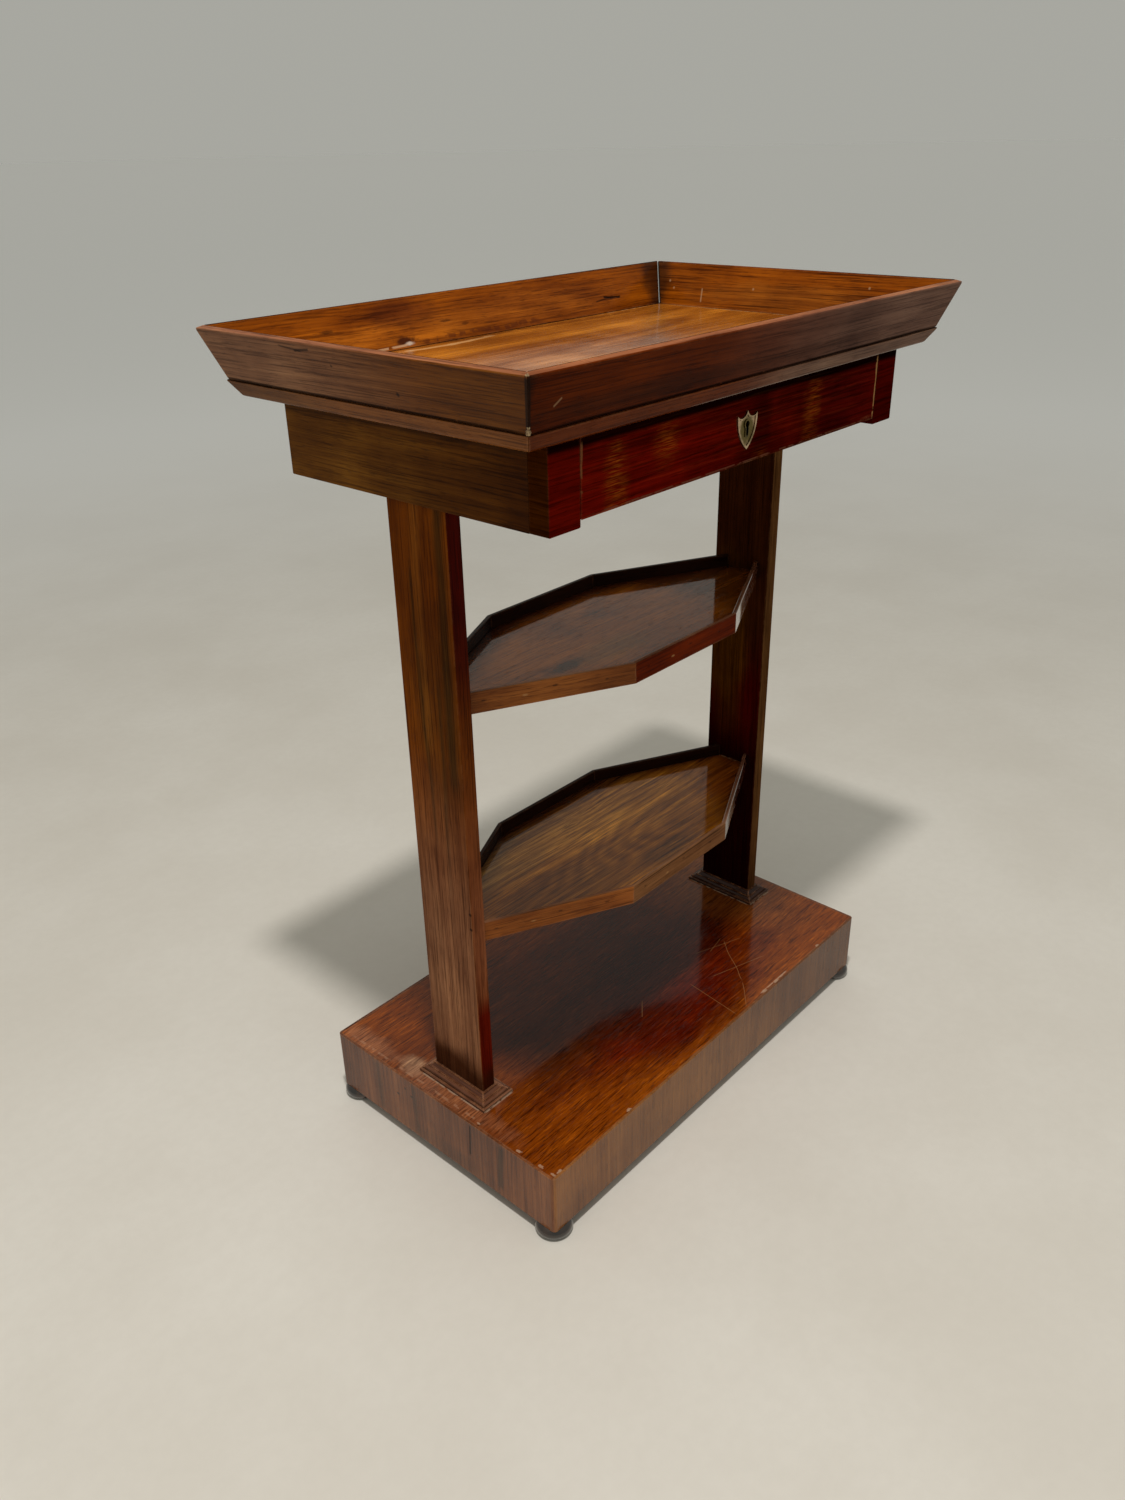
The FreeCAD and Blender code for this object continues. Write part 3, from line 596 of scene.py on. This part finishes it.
def left_post_marks(node="upright_left"):
    def outer(deep, high):
        return at(node, 0.0, deep, high)
    band = dict(flat=False, skip=X, soft=0.9)
    return [
        stroke(outer(0.12, 1.0), outer(0.14, 0.55), 0.0075, OLIVE, 0.65, wobble=0.004, scale=9.0,
               **band),
        stroke(outer(0.50, 1.0), outer(0.60, 0.60), 0.0080, (0.25, 0.080, 0.010), 0.5,
               wobble=0.005, scale=8.0, **band),
        stroke(outer(0.70, 0.9), outer(0.55, 0.45), 0.0030, OLIVE, 0.5, wobble=0.004, scale=9.0,
               **band),
        stroke(outer(0.30, 0.75), outer(0.36, 0.30), 0.0035, OLIVE, 0.45, wobble=0.004, scale=9.0,
               **band),
        patch(outer(0.80, 0.25), (THROUGH, 0.012, 0.06), OLIVE, 0.35, scale=20.0),
        patch(outer(0.35, 0.66), (THROUGH, 0.022, 0.075), OLIVE, 0.30, scale=14.0),
        fade(Z, 0.40, 0.20, (0.310, 0.138, 0.068), 0.8, within=LEFT_FACE),
        fade(Z, 0.40, 0.20, (0.310, 0.135, 0.066), 0.7, within=FRONT_FACE),
        dot(outer(0.03, 0.345), 0.0013, BLACK),
        dot(outer(0.03, 0.371), 0.0013, BLACK),
        fade(Z, 0.60, 0.0, (0.150, 0.028, 0.005), 0.85, within=FRONT_FACE),
        fade(Z, 0.36, 0.50, (0.060, 0.001, 0.0003), 0.95, within=FRONT_FACE),
        fade(Z, 0.185, 0.155, (0.095, 0.0035, 0.0006), 0.95, within=FRONT_FACE),
        fade(Z, 0.115, 0.090, (0.036, 0.0070, 0.0015), 0.88),
    ]


def right_post_marks(node="upright_right"):
    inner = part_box(node)[0].x
    return [
        fade(Z, 0.57, 0.50, (0.044, 0.010, 0.002), 0.8, within=LEFT_FACE),
        fade(Z, 0.37, 0.30, (0.050, 0.0010, 0.0004), 0.95, within=LEFT_FACE),
        patch((inner, 0.012, 0.345), (0.01, 0.020, 0.075), (0.085, 0.028, 0.0012), 0.85,
              scale=18.0),
        fade(Z, 0.30, 0.20, (0.010, 0.0008, 0.0004), 0.9, within=LEFT_FACE),
        side_color(*FRONT_FACE, (0.100, 0.041, 0.013), 1.0),
    ]


def plinth_marks(node="plinth_top"):
    def top(across, deep):
        return at(node, across, deep, 1.0)
    scratch = dict(color=(0.45, 0.22, 0.08), strength=0.36, rough=0.4, skip=Z)
    chip = dict(color=(0.44, 0.27, 0.17), rough=0.5, flat=True, wobble=1.0, soft=0.3, scale=520.0)
    chips = [patch(top(across, deep), (size, size * 0.5, 0.004), strength=0.8, **chip)
             for across, deep, size in (
                 (0.655, 0.004, 0.0030), (0.700, 0.004, 0.0030), (0.720, 0.006, 0.0020),
                 (0.210, 0.006, 0.0022), (0.018, 0.004, 0.0022), (0.860, 0.004, 0.0020))]
    chips += [patch(top(0.006, deep), (size * 0.5, size, 0.004), strength=0.7, **chip)
              for deep, size in ((0.010, 0.0022), (0.060, 0.0024), (0.153, 0.0022), (0.33, 0.0016))]
    return [
        patch(top(0.46, 0.185), (0.135, 0.037, 0.02), RED_BAND, 0.95, scale=16.0),
        patch(top(0.62, 0.36), (0.11, 0.050, 0.02), (0.085, 0.0055, 0.0005), 0.9, scale=14.0),
        # Dark in the middle under the lower shelf: painted shade, and the shelf's dark underside
        # reflected.
        patch(top(0.44, 0.62), (0.17, 0.090, 0.02), (0.050, 0.006, 0.001), 0.85, scale=9.0),
        patch(top(0.13, 0.10), (0.075, 0.026, 0.02), (0.29, 0.060, 0.002), 0.6, scale=14.0),
        patch(top(0.50, 0.01), (0.20, 0.007, 0.02), (0.26, 0.056, 0.003), 0.7, scale=30.0),
        patch(top(0.92, 0.50), (0.05, 0.09, 0.02), (0.20, 0.065, 0.012), 0.45, 0.16, scale=14.0),
        patch(top(0.030, 0.68), (0.010, 0.013, 0.01), (0.40, 0.24, 0.14), 0.5, 0.4, scale=110.0),
        patch(top(0.02, 0.45), (0.010, 0.06, 0.01), (0.34, 0.14, 0.07), 0.5, 0.4, scale=110.0),
        patch(top(0.02, 0.88), (0.010, 0.03, 0.01), (0.34, 0.14, 0.07), 0.45, 0.4, scale=110.0),
        stroke(top(0.745, 0.30), top(0.650, 0.10), 0.00045, **scratch, wobble=0.006, scale=12.0),
        stroke(top(0.650, 0.10), top(0.585, 0.005), 0.00045, **scratch, wobble=0.004, scale=12.0),
        stroke(top(0.575, 0.24), top(0.557, 0.002), 0.00042, **scratch),
        stroke(top(0.748, 0.31), top(0.690, 0.29), 0.00042, **scratch),
        stroke(top(0.78, 0.25), top(0.66, 0.33), 0.00040, **scratch),
        stroke(top(0.468, 0.31), top(0.425, 0.25), 0.00045, **scratch),
        stroke(top(0.62, 0.20), top(0.76, 0.12), 0.00040, **scratch),
        stroke(top(0.640, 0.008), top(0.745, 0.008), 0.0010, (0.50, 0.32, 0.20), 0.7, 0.5, skip=Z,
               broken=0.36),
        stroke(top(0.010, 0.30), top(0.010, 0.98), 0.0016, (0.40, 0.20, 0.11), 0.45, 0.5, skip=Z,
               broken=0.46),
    ] + chips + dust_round("left") + dust_round("right")


def dust_round(side):
    """Dust lying on the plinth along the left and front of an upright's foot moulding."""
    low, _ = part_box(f"upright_moulding_{side}_front")
    _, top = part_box(f"upright_moulding_{side}_back")
    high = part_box("plinth_top")[1].z
    corners = [Vector((low.x, top.y, high)), Vector((low.x, low.y, high)),
               Vector((top.x, low.y, high))]
    return [stroke(a, b, 0.0020, (0.42, 0.29, 0.20), 0.65, 0.6, skip=Z, broken=0.40)
            for a, b in zip(corners, corners[1:])]


def rail_left_marks(node="plinth_rail_left"):
    def face(deep, high):
        return at(node, 0.0, deep, high)
    band = dict(flat=False, skip=X, soft=0.8)
    return [
        stroke(face(0.215, 1.0), face(0.225, 0.1), 0.0050, (0.030, 0.018, 0.010), 0.65,
               wobble=0.001, **band),
        stroke(face(0.350, 1.0), face(0.358, 0.35), 0.0012, BLACK, 0.85, 0.6, -3.0, skip=X),
        stroke(face(0.62, 1.0), face(0.61, 0.0), 0.0040, (0.045, 0.025, 0.014), 0.5, **band),
        stroke(face(0.80, 1.0), face(0.79, 0.0), 0.0060, (0.050, 0.028, 0.016), 0.45, **band),
        speck(face(0.63, 0.72), 0.0018, 0.0014),
        speck(face(0.70, 0.60), 0.0016, 0.0012),
        speck(face(0.66, 0.80), 0.0014, 0.0010, 0.7),
        patch(face(0.47, 0.15), (THROUGH, 0.05, 0.008), (0.09, 0.036, 0.016), 0.4, scale=40.0),
    ]


def rail_front_marks(node="plinth_rail_front"):
    def face(across, high):
        return at(node, across, 0.0, high)
    band = dict(flat=False, skip=Y, soft=0.8)
    return [
        stroke(face(0.485, 0.95), face(0.487, 0.40), 0.0010, BLACK, 0.5, skip=Y),
        stroke(face(0.62, 1.0), face(0.62, 0.0), 0.0060, (0.13, 0.046, 0.015), 0.4, **band),
        stroke(face(0.30, 1.0), face(0.31, 0.0), 0.0080, (0.14, 0.050, 0.016), 0.4, **band),
        fade(X, -0.10, -0.20, (0.26, 0.092, 0.026), 0.4),
    ]


def shelf_marks(node):
    def top(across, deep):
        return at(node, across, deep, 1.0)
    level = node.split("_")[0]
    shadow = (0.060, 0.014, 0.002)
    marks = []
    for part, deeps in (("left", (0.0, 1.0)), ("mid", (1.0, 1.0)), ("right", (1.0, 0.0))):
        low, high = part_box(f"{level}_shelf_rim_back_{part}")
        ends = [Vector((x, low.y + (high.y - low.y) * f, high.z))
                for x, f in zip((low.x, high.x), deeps)]
        past = (ends[1] - ends[0]).normalized() * 0.022
        marks.append(stroke(ends[0] - past, ends[1] + past, 0.030, shadow, 0.92, flat=False,
                            skip=Z, soft=0.85))
    if level == "upper":
        return marks + [
            # The right end darker: painted reflection of the dark right upright.
            fade(X, 0.075, 0.125, (0.120, 0.034, 0.003), 0.85),
            patch(top(0.42, 0.30), (0.035, 0.016, 0.02), (0.34, 0.15, 0.02), 0.6, scale=50.0),
            patch(top(0.28, 0.33), (0.020, 0.007, 0.02), BLACK, 0.75, scale=60.0),
            # Darker along the front rim: painted shade, and the rim's dark inner face reflected.
            patch(top(0.50, 0.05), (0.12, 0.016, 0.02), (0.16, 0.040, 0.008), 0.4, scale=30.0),
        ]
    return marks + [
        # The right end darker: painted reflection of the dark right upright.
        fade(X, 0.085, 0.130, (0.190, 0.038, 0.003), 0.85),
        patch(top(0.52, 0.13), (0.035, 0.012, 0.02), (0.10, 0.035, 0.010), 0.5, scale=50.0),
        patch(top(0.30, 0.75), (0.14, 0.025, 0.02), (0.40, 0.200, 0.045), 0.5, scale=20.0),
        patch(top(0.22, 0.30), (0.08, 0.030, 0.02), (0.16, 0.060, 0.015), 0.4, scale=20.0),
        patch(top(0.62, 0.62), (0.10, 0.035, 0.02), (0.56, 0.215, 0.020), 0.65, scale=18.0),
        stroke(top(0.985, 0.10), top(0.985, 0.85), 0.0015, CHIP, 0.4, 0.5, skip=Z, broken=0.42),
    ]


def rim_marks(node):
    """A front rim: a painted highlight on its upper face, on the lower middle rim a painted shade
    line under it, and small dark spots and a pale one on its outer face.
    """
    # Upper faces lighter: painted highlight.
    marks = [side_color(Z, 1.0, (0.33, 0.17, 0.09), 0.55)]
    if node == "lower_shelf_rim_front_mid":
        ends = at(node, 0.0, 0.5, 0.91), at(node, 1.0, 0.5, 0.91)
        # A near-black line just under the top edge: painted shade.
        marks.append(stroke(*ends, 0.0008, BLACK, 0.8, skip=Y))
    for across, up, color in ((0.12, 0.55, BLACK), (0.35, 0.45, TAN), (0.52, 0.65, BLACK),
                              (0.82, 0.5, BLACK)):
        marks.append(patch(at(node, across, 0.5, up), (0.0018, 0.04, 0.0007), color, 0.55,
                           flat=True, wobble=0.6, scale=260.0))
    return marks


STILE = options(UPRIGHT, specular=0.0, wear=0.12, wrap=True)

# Each CAD node of polished wood: the grain's axis, the tone and the wood's settings.
LOOKS = {
    "tray_floor": (X, TRAY_TONE, options(FLAT, figure=1.0, bend=0.035, gloss=0.16,
                                         marks=floor_marks())),
    "tray_board_back": (X, BOARD_TONE, options(UPRIGHT, figure=0.6, blotch=0.35, bend=0.02,
                                               marks=back_board_marks())),
    "tray_board_right": (Y, BOARD_TONE, options(UPRIGHT, figure=0.5, fleck=0.9,
                                                marks=right_board_marks())),
    "tray_board_front": (X, (0.112, 0.017, 0.0006), options(
        UPRIGHT, specular=0.014, streak=0.34, blotch=0.35, marks=front_board_marks())),
    "tray_board_left": (Y, (0.150, 0.042, 0.004), options(UPRIGHT, marks=left_board_marks())),
    "tray_moulding_front": (X, (0.130, 0.026, 0.004), options(
        UPRIGHT, specular=0.012, marks=front_moulding_marks())),
    "tray_moulding_back": (X, FACE_TONE, UPRIGHT),
    "tray_moulding_left": (Y, (0.220, 0.074, 0.016), options(
        UPRIGHT, specular=0.03, marks=[fade(Y, 0.0, 0.09, (0.105, 0.038, 0.011), 0.8)])),
    "tray_moulding_right": (Y, FACE_TONE, UPRIGHT),
    "box_end_left": (Y, SIDE_TONE, options(UPRIGHT, specular=0.03, wear=0.08,
                                           marks=left_end_marks())),
    "box_end_right": (Y, SIDE_TONE, options(UPRIGHT, fleck=0.9)),
    "box_back_rail": (X, SIDE_TONE, UPRIGHT),
    "box_stile_left": (X, tint(DEEP_TONE, 0.78), options(
        STILE, marks=stile_marks("box_stile_left", -1.0))),
    "box_stile_right": (X, tint(DEEP_TONE, 0.60), options(
        STILE, marks=stile_marks("box_stile_right", 1.0))),
    "upright_left": (Z, POST_TONE, options(UPRIGHT, specular=0.015, figure=0.25, streak=0.42,
                                           marks=left_post_marks())),
    "upright_right": (Z, (0.026, 0.008, 0.0015), options(
        UPRIGHT, specular=0.0, figure=0.4, streak=0.5, marks=right_post_marks())),
    "upper_shelf_panel": (X, SHELF_TONE, options(
        FLAT, figure=0.8, streak=0.35, blotch=0.35, gloss=0.045, ripple=0.12, bend=0.03,
        marks=shelf_marks("upper_shelf_panel"))),
    "lower_shelf_panel": (X, (0.400, 0.132, 0.008), options(
        FLAT, figure=0.75, rings=260.0, streak=0.75, blotch=0.35, gloss=0.08, ripple=0.2,
        bend=0.04, fleck=0.85, gold=0.45, marks=shelf_marks("lower_shelf_panel"))),
    "plinth_top": (X, PLINTH_TONE, options(
        FLAT, figure=0.15, fleck=0.9, streak=0.45, gold=0.55, short=3.5, deep=0.42, gloss=0.09,
        marks=plinth_marks())),
    "plinth_rail_left": (Z, RAIL_TONE, options(UPRIGHT, specular=0.3, fleck=0.4, streak=0.7,
                                               marks=rail_left_marks())),
    "plinth_rail_front": (Z, (0.205, 0.078, 0.022), options(
        UPRIGHT, specular=0.28, fleck=0.35, streak=0.28, marks=rail_front_marks())),
    "plinth_rail_back": (Z, RAIL_TONE, options(UPRIGHT, specular=0.3, fleck=0.4, streak=0.6)),
    "plinth_rail_right": (Z, RAIL_TONE, options(UPRIGHT, specular=0.3, fleck=0.4, streak=0.7)),
}
# The right rims' pale grey-pink tone is a painted reflection, on top of their high specular and
# coat.
RIM_TONES = {"upper_left": (0.240, 0.072, 0.015), "upper_mid": (0.140, 0.0150, 0.0008),
             "lower_left": (0.360, 0.108, 0.020), "lower_mid": (0.215, 0.088, 0.032),
             "upper_right": (0.240, 0.090, 0.050), "lower_right": (0.240, 0.090, 0.050)}
RIM_GLOSS = {"left": dict(specular=0.08), "mid": dict(specular=0.012),
             "right": dict(specular=1.0, gloss=0.08, coat=1.0)}
for level in ("upper", "lower"):
    for part, lean in (("left", 1), ("mid", 0), ("right", -1)):
        front, back = (f"{level}_shelf_rim_{place}_{part}" for place in ("front", "back"))
        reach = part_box(front)[1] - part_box(front)[0]
        swing = lean * math.atan2(reach.y, reach.x)
        polish = options(UPRIGHT, **RIM_GLOSS[part])
        LOOKS[front] = (X, RIM_TONES[f"{level}_{part}"], options(
            polish, turn=swing, figure=0.1, streak=0.4, marks=rim_marks(front)))
        LOOKS[back] = (X, BLACK_TONE, options(UPRIGHT, turn=-swing, wear=0.35))
MOULDING_TONE = {"left": (0.150, 0.055, 0.026), "right": (0.050, 0.013, 0.005)}
for side in ("left", "right"):
    for face in ("front", "back", "outer", "inner"):
        node = f"upright_moulding_{side}_{face}"
        # Pale dust along the front moulding's foot; a near-black line of painted shade along the
        # others' feet.
        foot_dust_and_shade = (0.40, 0.28, 0.19) if face == "front" else SHADE_AND_GRIME
        LOOKS[node] = (X if face in ("front", "back") else Y, MOULDING_TONE[side], options(
            UPRIGHT, specular=0.25, gloss=0.10, wear=1.0, marks=[base_line(node, foot_dust_and_shade)]))

# The arris of each node whose name starts so.
BEVELS = {
    "tray_board": 0.0007, "tray_moulding": 0.0006, "tray_floor": 0.0003, "box_end": 0.0007,
    "box_stile": 0.0008, "box_back": 0.0007, "drawer_front": 0.0006, "upright_left": 0.0009,
    "upright_right": 0.0009, "upper_shelf": 0.0006, "lower_shelf": 0.0006, "plinth": 0.0008,
}
for index, (name, (along, tone, settings)) in enumerate(LOOKS.items()):
    offset = (0.731 * index, 1.277 * index, 0.913 * index)
    bevel = next((size for start, size in BEVELS.items() if name.startswith(start)), 0.0)
    finish_cad(name, wood(name + "_wood", along, tone, offset, **settings), bevel)


def new_piece(name, shape, material, body):
    """A finished bmesh as a named object that rides on a body."""
    mesh = bpy.data.meshes.new(name)
    shape.to_mesh(mesh)
    shape.free()
    mesh.materials.append(material)
    for face in mesh.polygons:
        face.use_smooth = True
    obj = bpy.data.objects.new(name, mesh)
    bpy.context.scene.collection.objects.link(obj)
    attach(obj, body)
    return obj


EDGE_CUTS = 78
EDGE_BAND = 0.0045
SLIVER = 0.000002
VENEER = 0.0015
WEAR = 0.00045
CHIP_REACH, CHIP_SLOPE = 0.021, 0.003
CHIP_HEIGHT = 0.0030
# Dents in the veneer's edge: distance from the right end, height and half width.
EDGE_DENTS = ((0.030, 0.0009, 0.008), (0.305, 0.0006, 0.010))


def edge_rise(place, run, veneer):
    """How far the worn lower edge stands up at a place, run in from the drawer's right end."""
    wave = noise.noise((place * 55.0, 3.7, 0.0)) + 0.5 * noise.noise((place * 210.0, 1.3, 0.0))
    rise = WEAR + WEAR * wave
    if veneer:
        rise += CHIP_HEIGHT * max(0.0, min(1.0, (CHIP_REACH - run) / CHIP_SLOPE))
        for middle, height, half in EDGE_DENTS:
            rise += height * max(0.0, 1.0 - abs(run - middle) / half)
    return max(rise, 0.0)


def chipped_drawer_front():
    """The drawer front with its veneer's lower edge worn wavy and chipped away near the right."""
    low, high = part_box("drawer_front")
    shape = bmesh.new()
    shape.from_mesh(NODES["drawer_front"].data)
    bmesh.ops.remove_doubles(shape, verts=shape.verts, dist=SAME_POINT)
    planes = [((low.x + (high.x - low.x) * i / EDGE_CUTS, 0, 0), (1, 0, 0))
              for i in range(1, EDGE_CUTS)]
    planes += [((0, 0, low.z + EDGE_BAND), (0, 0, 1)), ((0, low.y + VENEER, 0), (0, 1, 0))]
    for place, way in planes:
        every = shape.verts[:] + shape.edges[:] + shape.faces[:]
        bmesh.ops.bisect_plane(shape, geom=every, plane_co=place, plane_no=way, dist=SLIVER)
    for vert in shape.verts:
        if vert.co.z <= low.z + 0.0002:
            veneer = vert.co.y < low.y + VENEER + 0.0001
            vert.co.z += edge_rise(vert.co.x, high.x - vert.co.x, veneer)
    shape.normal_update()
    finish = wood("drawer_front_wood", X, DEEP_TONE, (4.1, 7.3, 2.9), **options(
        UPRIGHT, specular=0.0, figure=0.4, streak=0.6, blotch=0.7, gold=0.35, deep=0.22,
        marks=drawer_marks()))
    obj = new_piece("drawer_front_worn", shape, finish, "drawer")
    soften(obj, 0.0005)
    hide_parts("drawer_front")


chipped_drawer_front()


def lumps(name, places, material, body):
    """Small irregular lumps, each (centre, size across, size up), as one piece."""
    shape = bmesh.new()
    for index, (centre, across, upward) in enumerate(places):
        made = bmesh.ops.create_icosphere(shape, subdivisions=3, radius=1.0)["verts"]
        for vert in made:
            swell = 1.0 + 0.45 * noise.noise(vert.co * 1.7 + Vector((index * 5.3, 0, 0)))
            swell += 0.18 * noise.noise(vert.co * 4.5 + Vector((0, index * 3.1, 0)))
            size = Vector((across, across, upward)) * swell
            vert.co = Vector(centre) + vert.co * size
    return new_piece(name, shape, material, body)


def filler(name):
    """Dry, pale old filler."""
    g = Graph(name)
    cloud = g.noise(g.here, 700.0, 3.0, 0.6)
    color = g.mix(g.span(cloud, 0.35, 0.65), (0.46, 0.33, 0.17), (0.17, 0.075, 0.025))
    bump = g.add("Bump", {"Strength": 0.6, "Distance": 0.0003, "Height": cloud})
    g.set(Base_Color=color, Roughness=0.6, Normal=bump.outputs[0])
    return g.material


def mitre_filler():
    """Old filler standing in the open near mitre of the tray."""
    foot, head = near_mitre()

    def along(t):
        return foot.lerp(head, t) + Vector((0.0006, 0.0006, 0))
    places = [(along(0.05), 0.0013, 0.0022), (along(0.13), 0.0009, 0.0015),
              (along(0.25), 0.0006, 0.0012), (along(0.56), 0.0006, 0.0010),
              (along(0.955), 0.0010, 0.0012)]
    lumps("mitre_filler", places, filler("old_filler"), "table")


mitre_filler()


# ------------------------------------------------------- other finishes

def ebony(name):
    """Black-stained turned wood, rubbed in places."""
    g = Graph(name)
    cloud = g.noise(g.here, 60.0, 3.0, 0.6)
    rub = g.span(g.noise(g.here, 140.0, 4.0, 0.7), 0.55, 0.7)
    color = g.mix(g.span(cloud, 0.35, 0.7), (0.008, 0.005, 0.004), (0.032, 0.014, 0.007))
    color = g.mix(g.math("MULTIPLY", rub, 0.35), color, (0.10, 0.04, 0.015))
    bump = g.add("Bump", {"Strength": 0.4, "Distance": 0.0003, "Height": cloud})
    g.set(Base_Color=color, Roughness=g.span(cloud, 0.3, 0.7, 0.12, 0.28), Coat_Weight=1.0,
          Coat_Roughness=0.04, Normal=bump.outputs[0])
    return g.material


def brass(name, node):
    """Old brass with a bright rim, a dull dish and a dark keyhole, with painted shade in its
    hollows and behind its face.
    """
    g = Graph(name)
    low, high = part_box(node)
    size = high - low
    middle = (low + high) / 2
    dish = g.blob(middle, (size.x * 0.36, 0.05, size.z * 0.36), 0.25, 0.2, 300.0)
    cloud = g.noise(g.here, 210.0, 4.0, 0.65)
    # Ambient occlusion darkens the hollows towards black: painted shade.
    hollow_shade = g.add("AmbientOcclusion", {"Distance": 0.003}, samples=4).outputs["AO"]
    slot = g.blob(middle, (0.0016, 0.05, 0.0052), 0.3, 0.1, 300.0)
    color = g.mix(g.span(cloud, 0.3, 0.7), (0.42, 0.29, 0.16), (0.76, 0.55, 0.35))
    color = g.mix(g.math("MULTIPLY", dish, 0.9), color, (0.110, 0.080, 0.008))
    color = g.mix(g.span(hollow_shade, 0.35, 0.85, 0.85, 0.0), color, (0.03, 0.02, 0.008))
    color = g.mix(g.math("MULTIPLY", slot, 0.92), color, (0.006, 0.004, 0.002))
    # Surfaces more than a millimetre behind the front face near-black: painted shade in the
    # keyhole.
    behind_face_shade = g.span(g.axis(Y), low.y + 0.00075, low.y + 0.0011)
    color = g.mix(behind_face_shade, color, (0.003, 0.002, 0.001))
    bump = g.add("Bump", {"Strength": 0.35, "Distance": 0.0002, "Height": cloud})
    g.set(Base_Color=color, Metallic=1.0, Roughness=g.span(cloud, 0.3, 0.7, 0.28, 0.5),
          Normal=bump.outputs[0])
    return g.material


def iron(name):
    """Dark iron with a little rust."""
    g = Graph(name)
    cloud = g.noise(g.here, 300.0, 4.0, 0.6)
    color = g.mix(g.span(cloud, 0.35, 0.65), (0.05, 0.045, 0.042), (0.10, 0.055, 0.03))
    bump = g.add("Bump", {"Strength": 0.4, "Distance": 0.0002, "Height": cloud})
    g.set(Base_Color=color, Metallic=0.8, Roughness=g.span(cloud, 0.3, 0.7, 0.4, 0.65),
          Normal=bump.outputs[0])
    return g.material


def pine(name, along, offset):
    """Old bare pine with grain along one axis."""
    g = Graph(name)
    scale = tuple(5.0 if i == along else 70.0 for i in (X, Y, Z))
    grain = g.noise(g.move(g.here, scale, offset), 1.0, 3.0, 0.6, 0.2)
    cloud = g.noise(g.here, 16.0, 3.0)
    color = g.ramp(grain, [(0.3, (0.20, 0.10, 0.04)), (0.5, (0.42, 0.26, 0.12)),
                           (0.75, (0.56, 0.38, 0.19))])
    color = g.mix(g.span(cloud, 0.45, 0.75, 0.0, 0.5), color, (0.16, 0.085, 0.04))
    bump = g.add("Bump", {"Strength": 0.4, "Distance": 0.0003, "Height": grain})
    g.set(Base_Color=color, Roughness=g.span(cloud, 0.3, 0.7, 0.6, 0.8), Normal=bump.outputs[0])
    return g.material


foot_finish = ebony("foot_ebony")
for name in NODES:
    if name.startswith("foot_"):
        finish_cad(name, foot_finish)
PINE_GRAIN = {
    "drawer_side_left": Y, "drawer_side_right": Y, "drawer_back": X, "drawer_bottom": X,
    "drawer_stop": X, "drawer_runner_left": Y, "drawer_runner_right": Y,
}
for index, (name, along) in enumerate(PINE_GRAIN.items()):
    finish_cad(name, pine(name + "_pine", along, (0.6 * index, 0.4, 0.9 * index)), 0.0004)
finish_cad("escutcheon", brass("escutcheon_brass", "escutcheon"))
iron_finish = iron("old_iron")
for name in ("lock_case", "lock_bolt", "lock_screws", "tray_screws"):
    finish_cad(name, iron_finish)


# ----------------------------------------------------- floor, light and camera

FLOOR_REACH = 60.0
FLOOR_FADE = (0.9, 3.2)


def floor_sheet():
    """A plain pale floor that gets paler away from the table."""
    mesh = bpy.data.meshes.new("studio_floor")
    sheet = bmesh.new()
    bmesh.ops.create_circle(sheet, cap_ends=True, radius=FLOOR_REACH, segments=96)
    sheet.to_mesh(mesh)
    sheet.free()
    obj = bpy.data.objects.new("studio_floor", mesh)
    bpy.context.scene.collection.objects.link(obj)
    g = Graph("floor_paint")
    cloud = g.noise(g.here, 3.0, 4.0, 0.6)
    speck = g.noise(g.here, 90.0, 3.0, 0.6)
    color = g.mix(g.span(cloud, 0.3, 0.7), (0.72, 0.680, 0.615), (0.78, 0.745, 0.685))
    color = g.mix(g.span(speck, 0.3, 0.7, 0.0, 0.12), color, (0.62, 0.58, 0.52))
    away = g.vector("LENGTH", g.here).outputs["Value"]
    color = g.mix(g.span(away, *FLOOR_FADE), color, (0.99, 0.99, 0.985))
    g.set(Base_Color=color, Roughness=0.55)
    mesh.materials.append(g.material)
    return obj


floor_sheet()

AIR_COLOR = (0.390, 0.388, 0.352, 1.0)
world = bpy.data.worlds.new("studio")
world.use_nodes = True
bpy.context.scene.world = world
background = world.node_tree.nodes["Background"]
background.inputs["Color"].default_value = AIR_COLOR
background.inputs["Strength"].default_value = 1.0

LAMP_PLACE = (-0.52, -0.42, 2.30)
LAMP_SIZE = 0.14
LAMP_POWER = 28.0
LAMP_COLOR = (1.0, 0.965, 0.915)
lamp = bpy.data.lights.new("ceiling_light", "AREA")
lamp.shape = "DISK"
lamp.size = LAMP_SIZE
lamp.energy = LAMP_POWER
lamp.color = LAMP_COLOR
lamp_object = bpy.data.objects.new("ceiling_light", lamp)
lamp_object.location = LAMP_PLACE
bpy.context.scene.collection.objects.link(lamp_object)

CAMERA_PLACE = Vector((-0.6987, -0.5818, 0.7792))
YAW, PITCH, ROLL = (math.radians(angle) for angle in (47.572, -27.492, -1.274))
LENS, SENSOR = 28.593, 36.0
ahead = math.cos(PITCH)
forward = Vector((math.sin(YAW) * ahead, math.cos(YAW) * ahead, math.sin(PITCH)))
sideways = Vector((math.cos(YAW), -math.sin(YAW), 0))
upright = sideways.cross(forward)
right = math.cos(ROLL) * sideways + math.sin(ROLL) * upright
up = -math.sin(ROLL) * sideways + math.cos(ROLL) * upright
camera = bpy.data.cameras.new("camera")
camera.lens = LENS
camera.sensor_width = SENSOR
camera.clip_start = 0.01
camera_object = bpy.data.objects.new("camera", camera)
turn = Matrix((right, up, -forward)).transposed().to_4x4()
camera_object.matrix_world = Matrix.Translation(CAMERA_PLACE) @ turn
bpy.context.scene.collection.objects.link(camera_object)
bpy.context.scene.camera = camera_object
bpy.context.scene.view_settings.view_transform = "Standard"
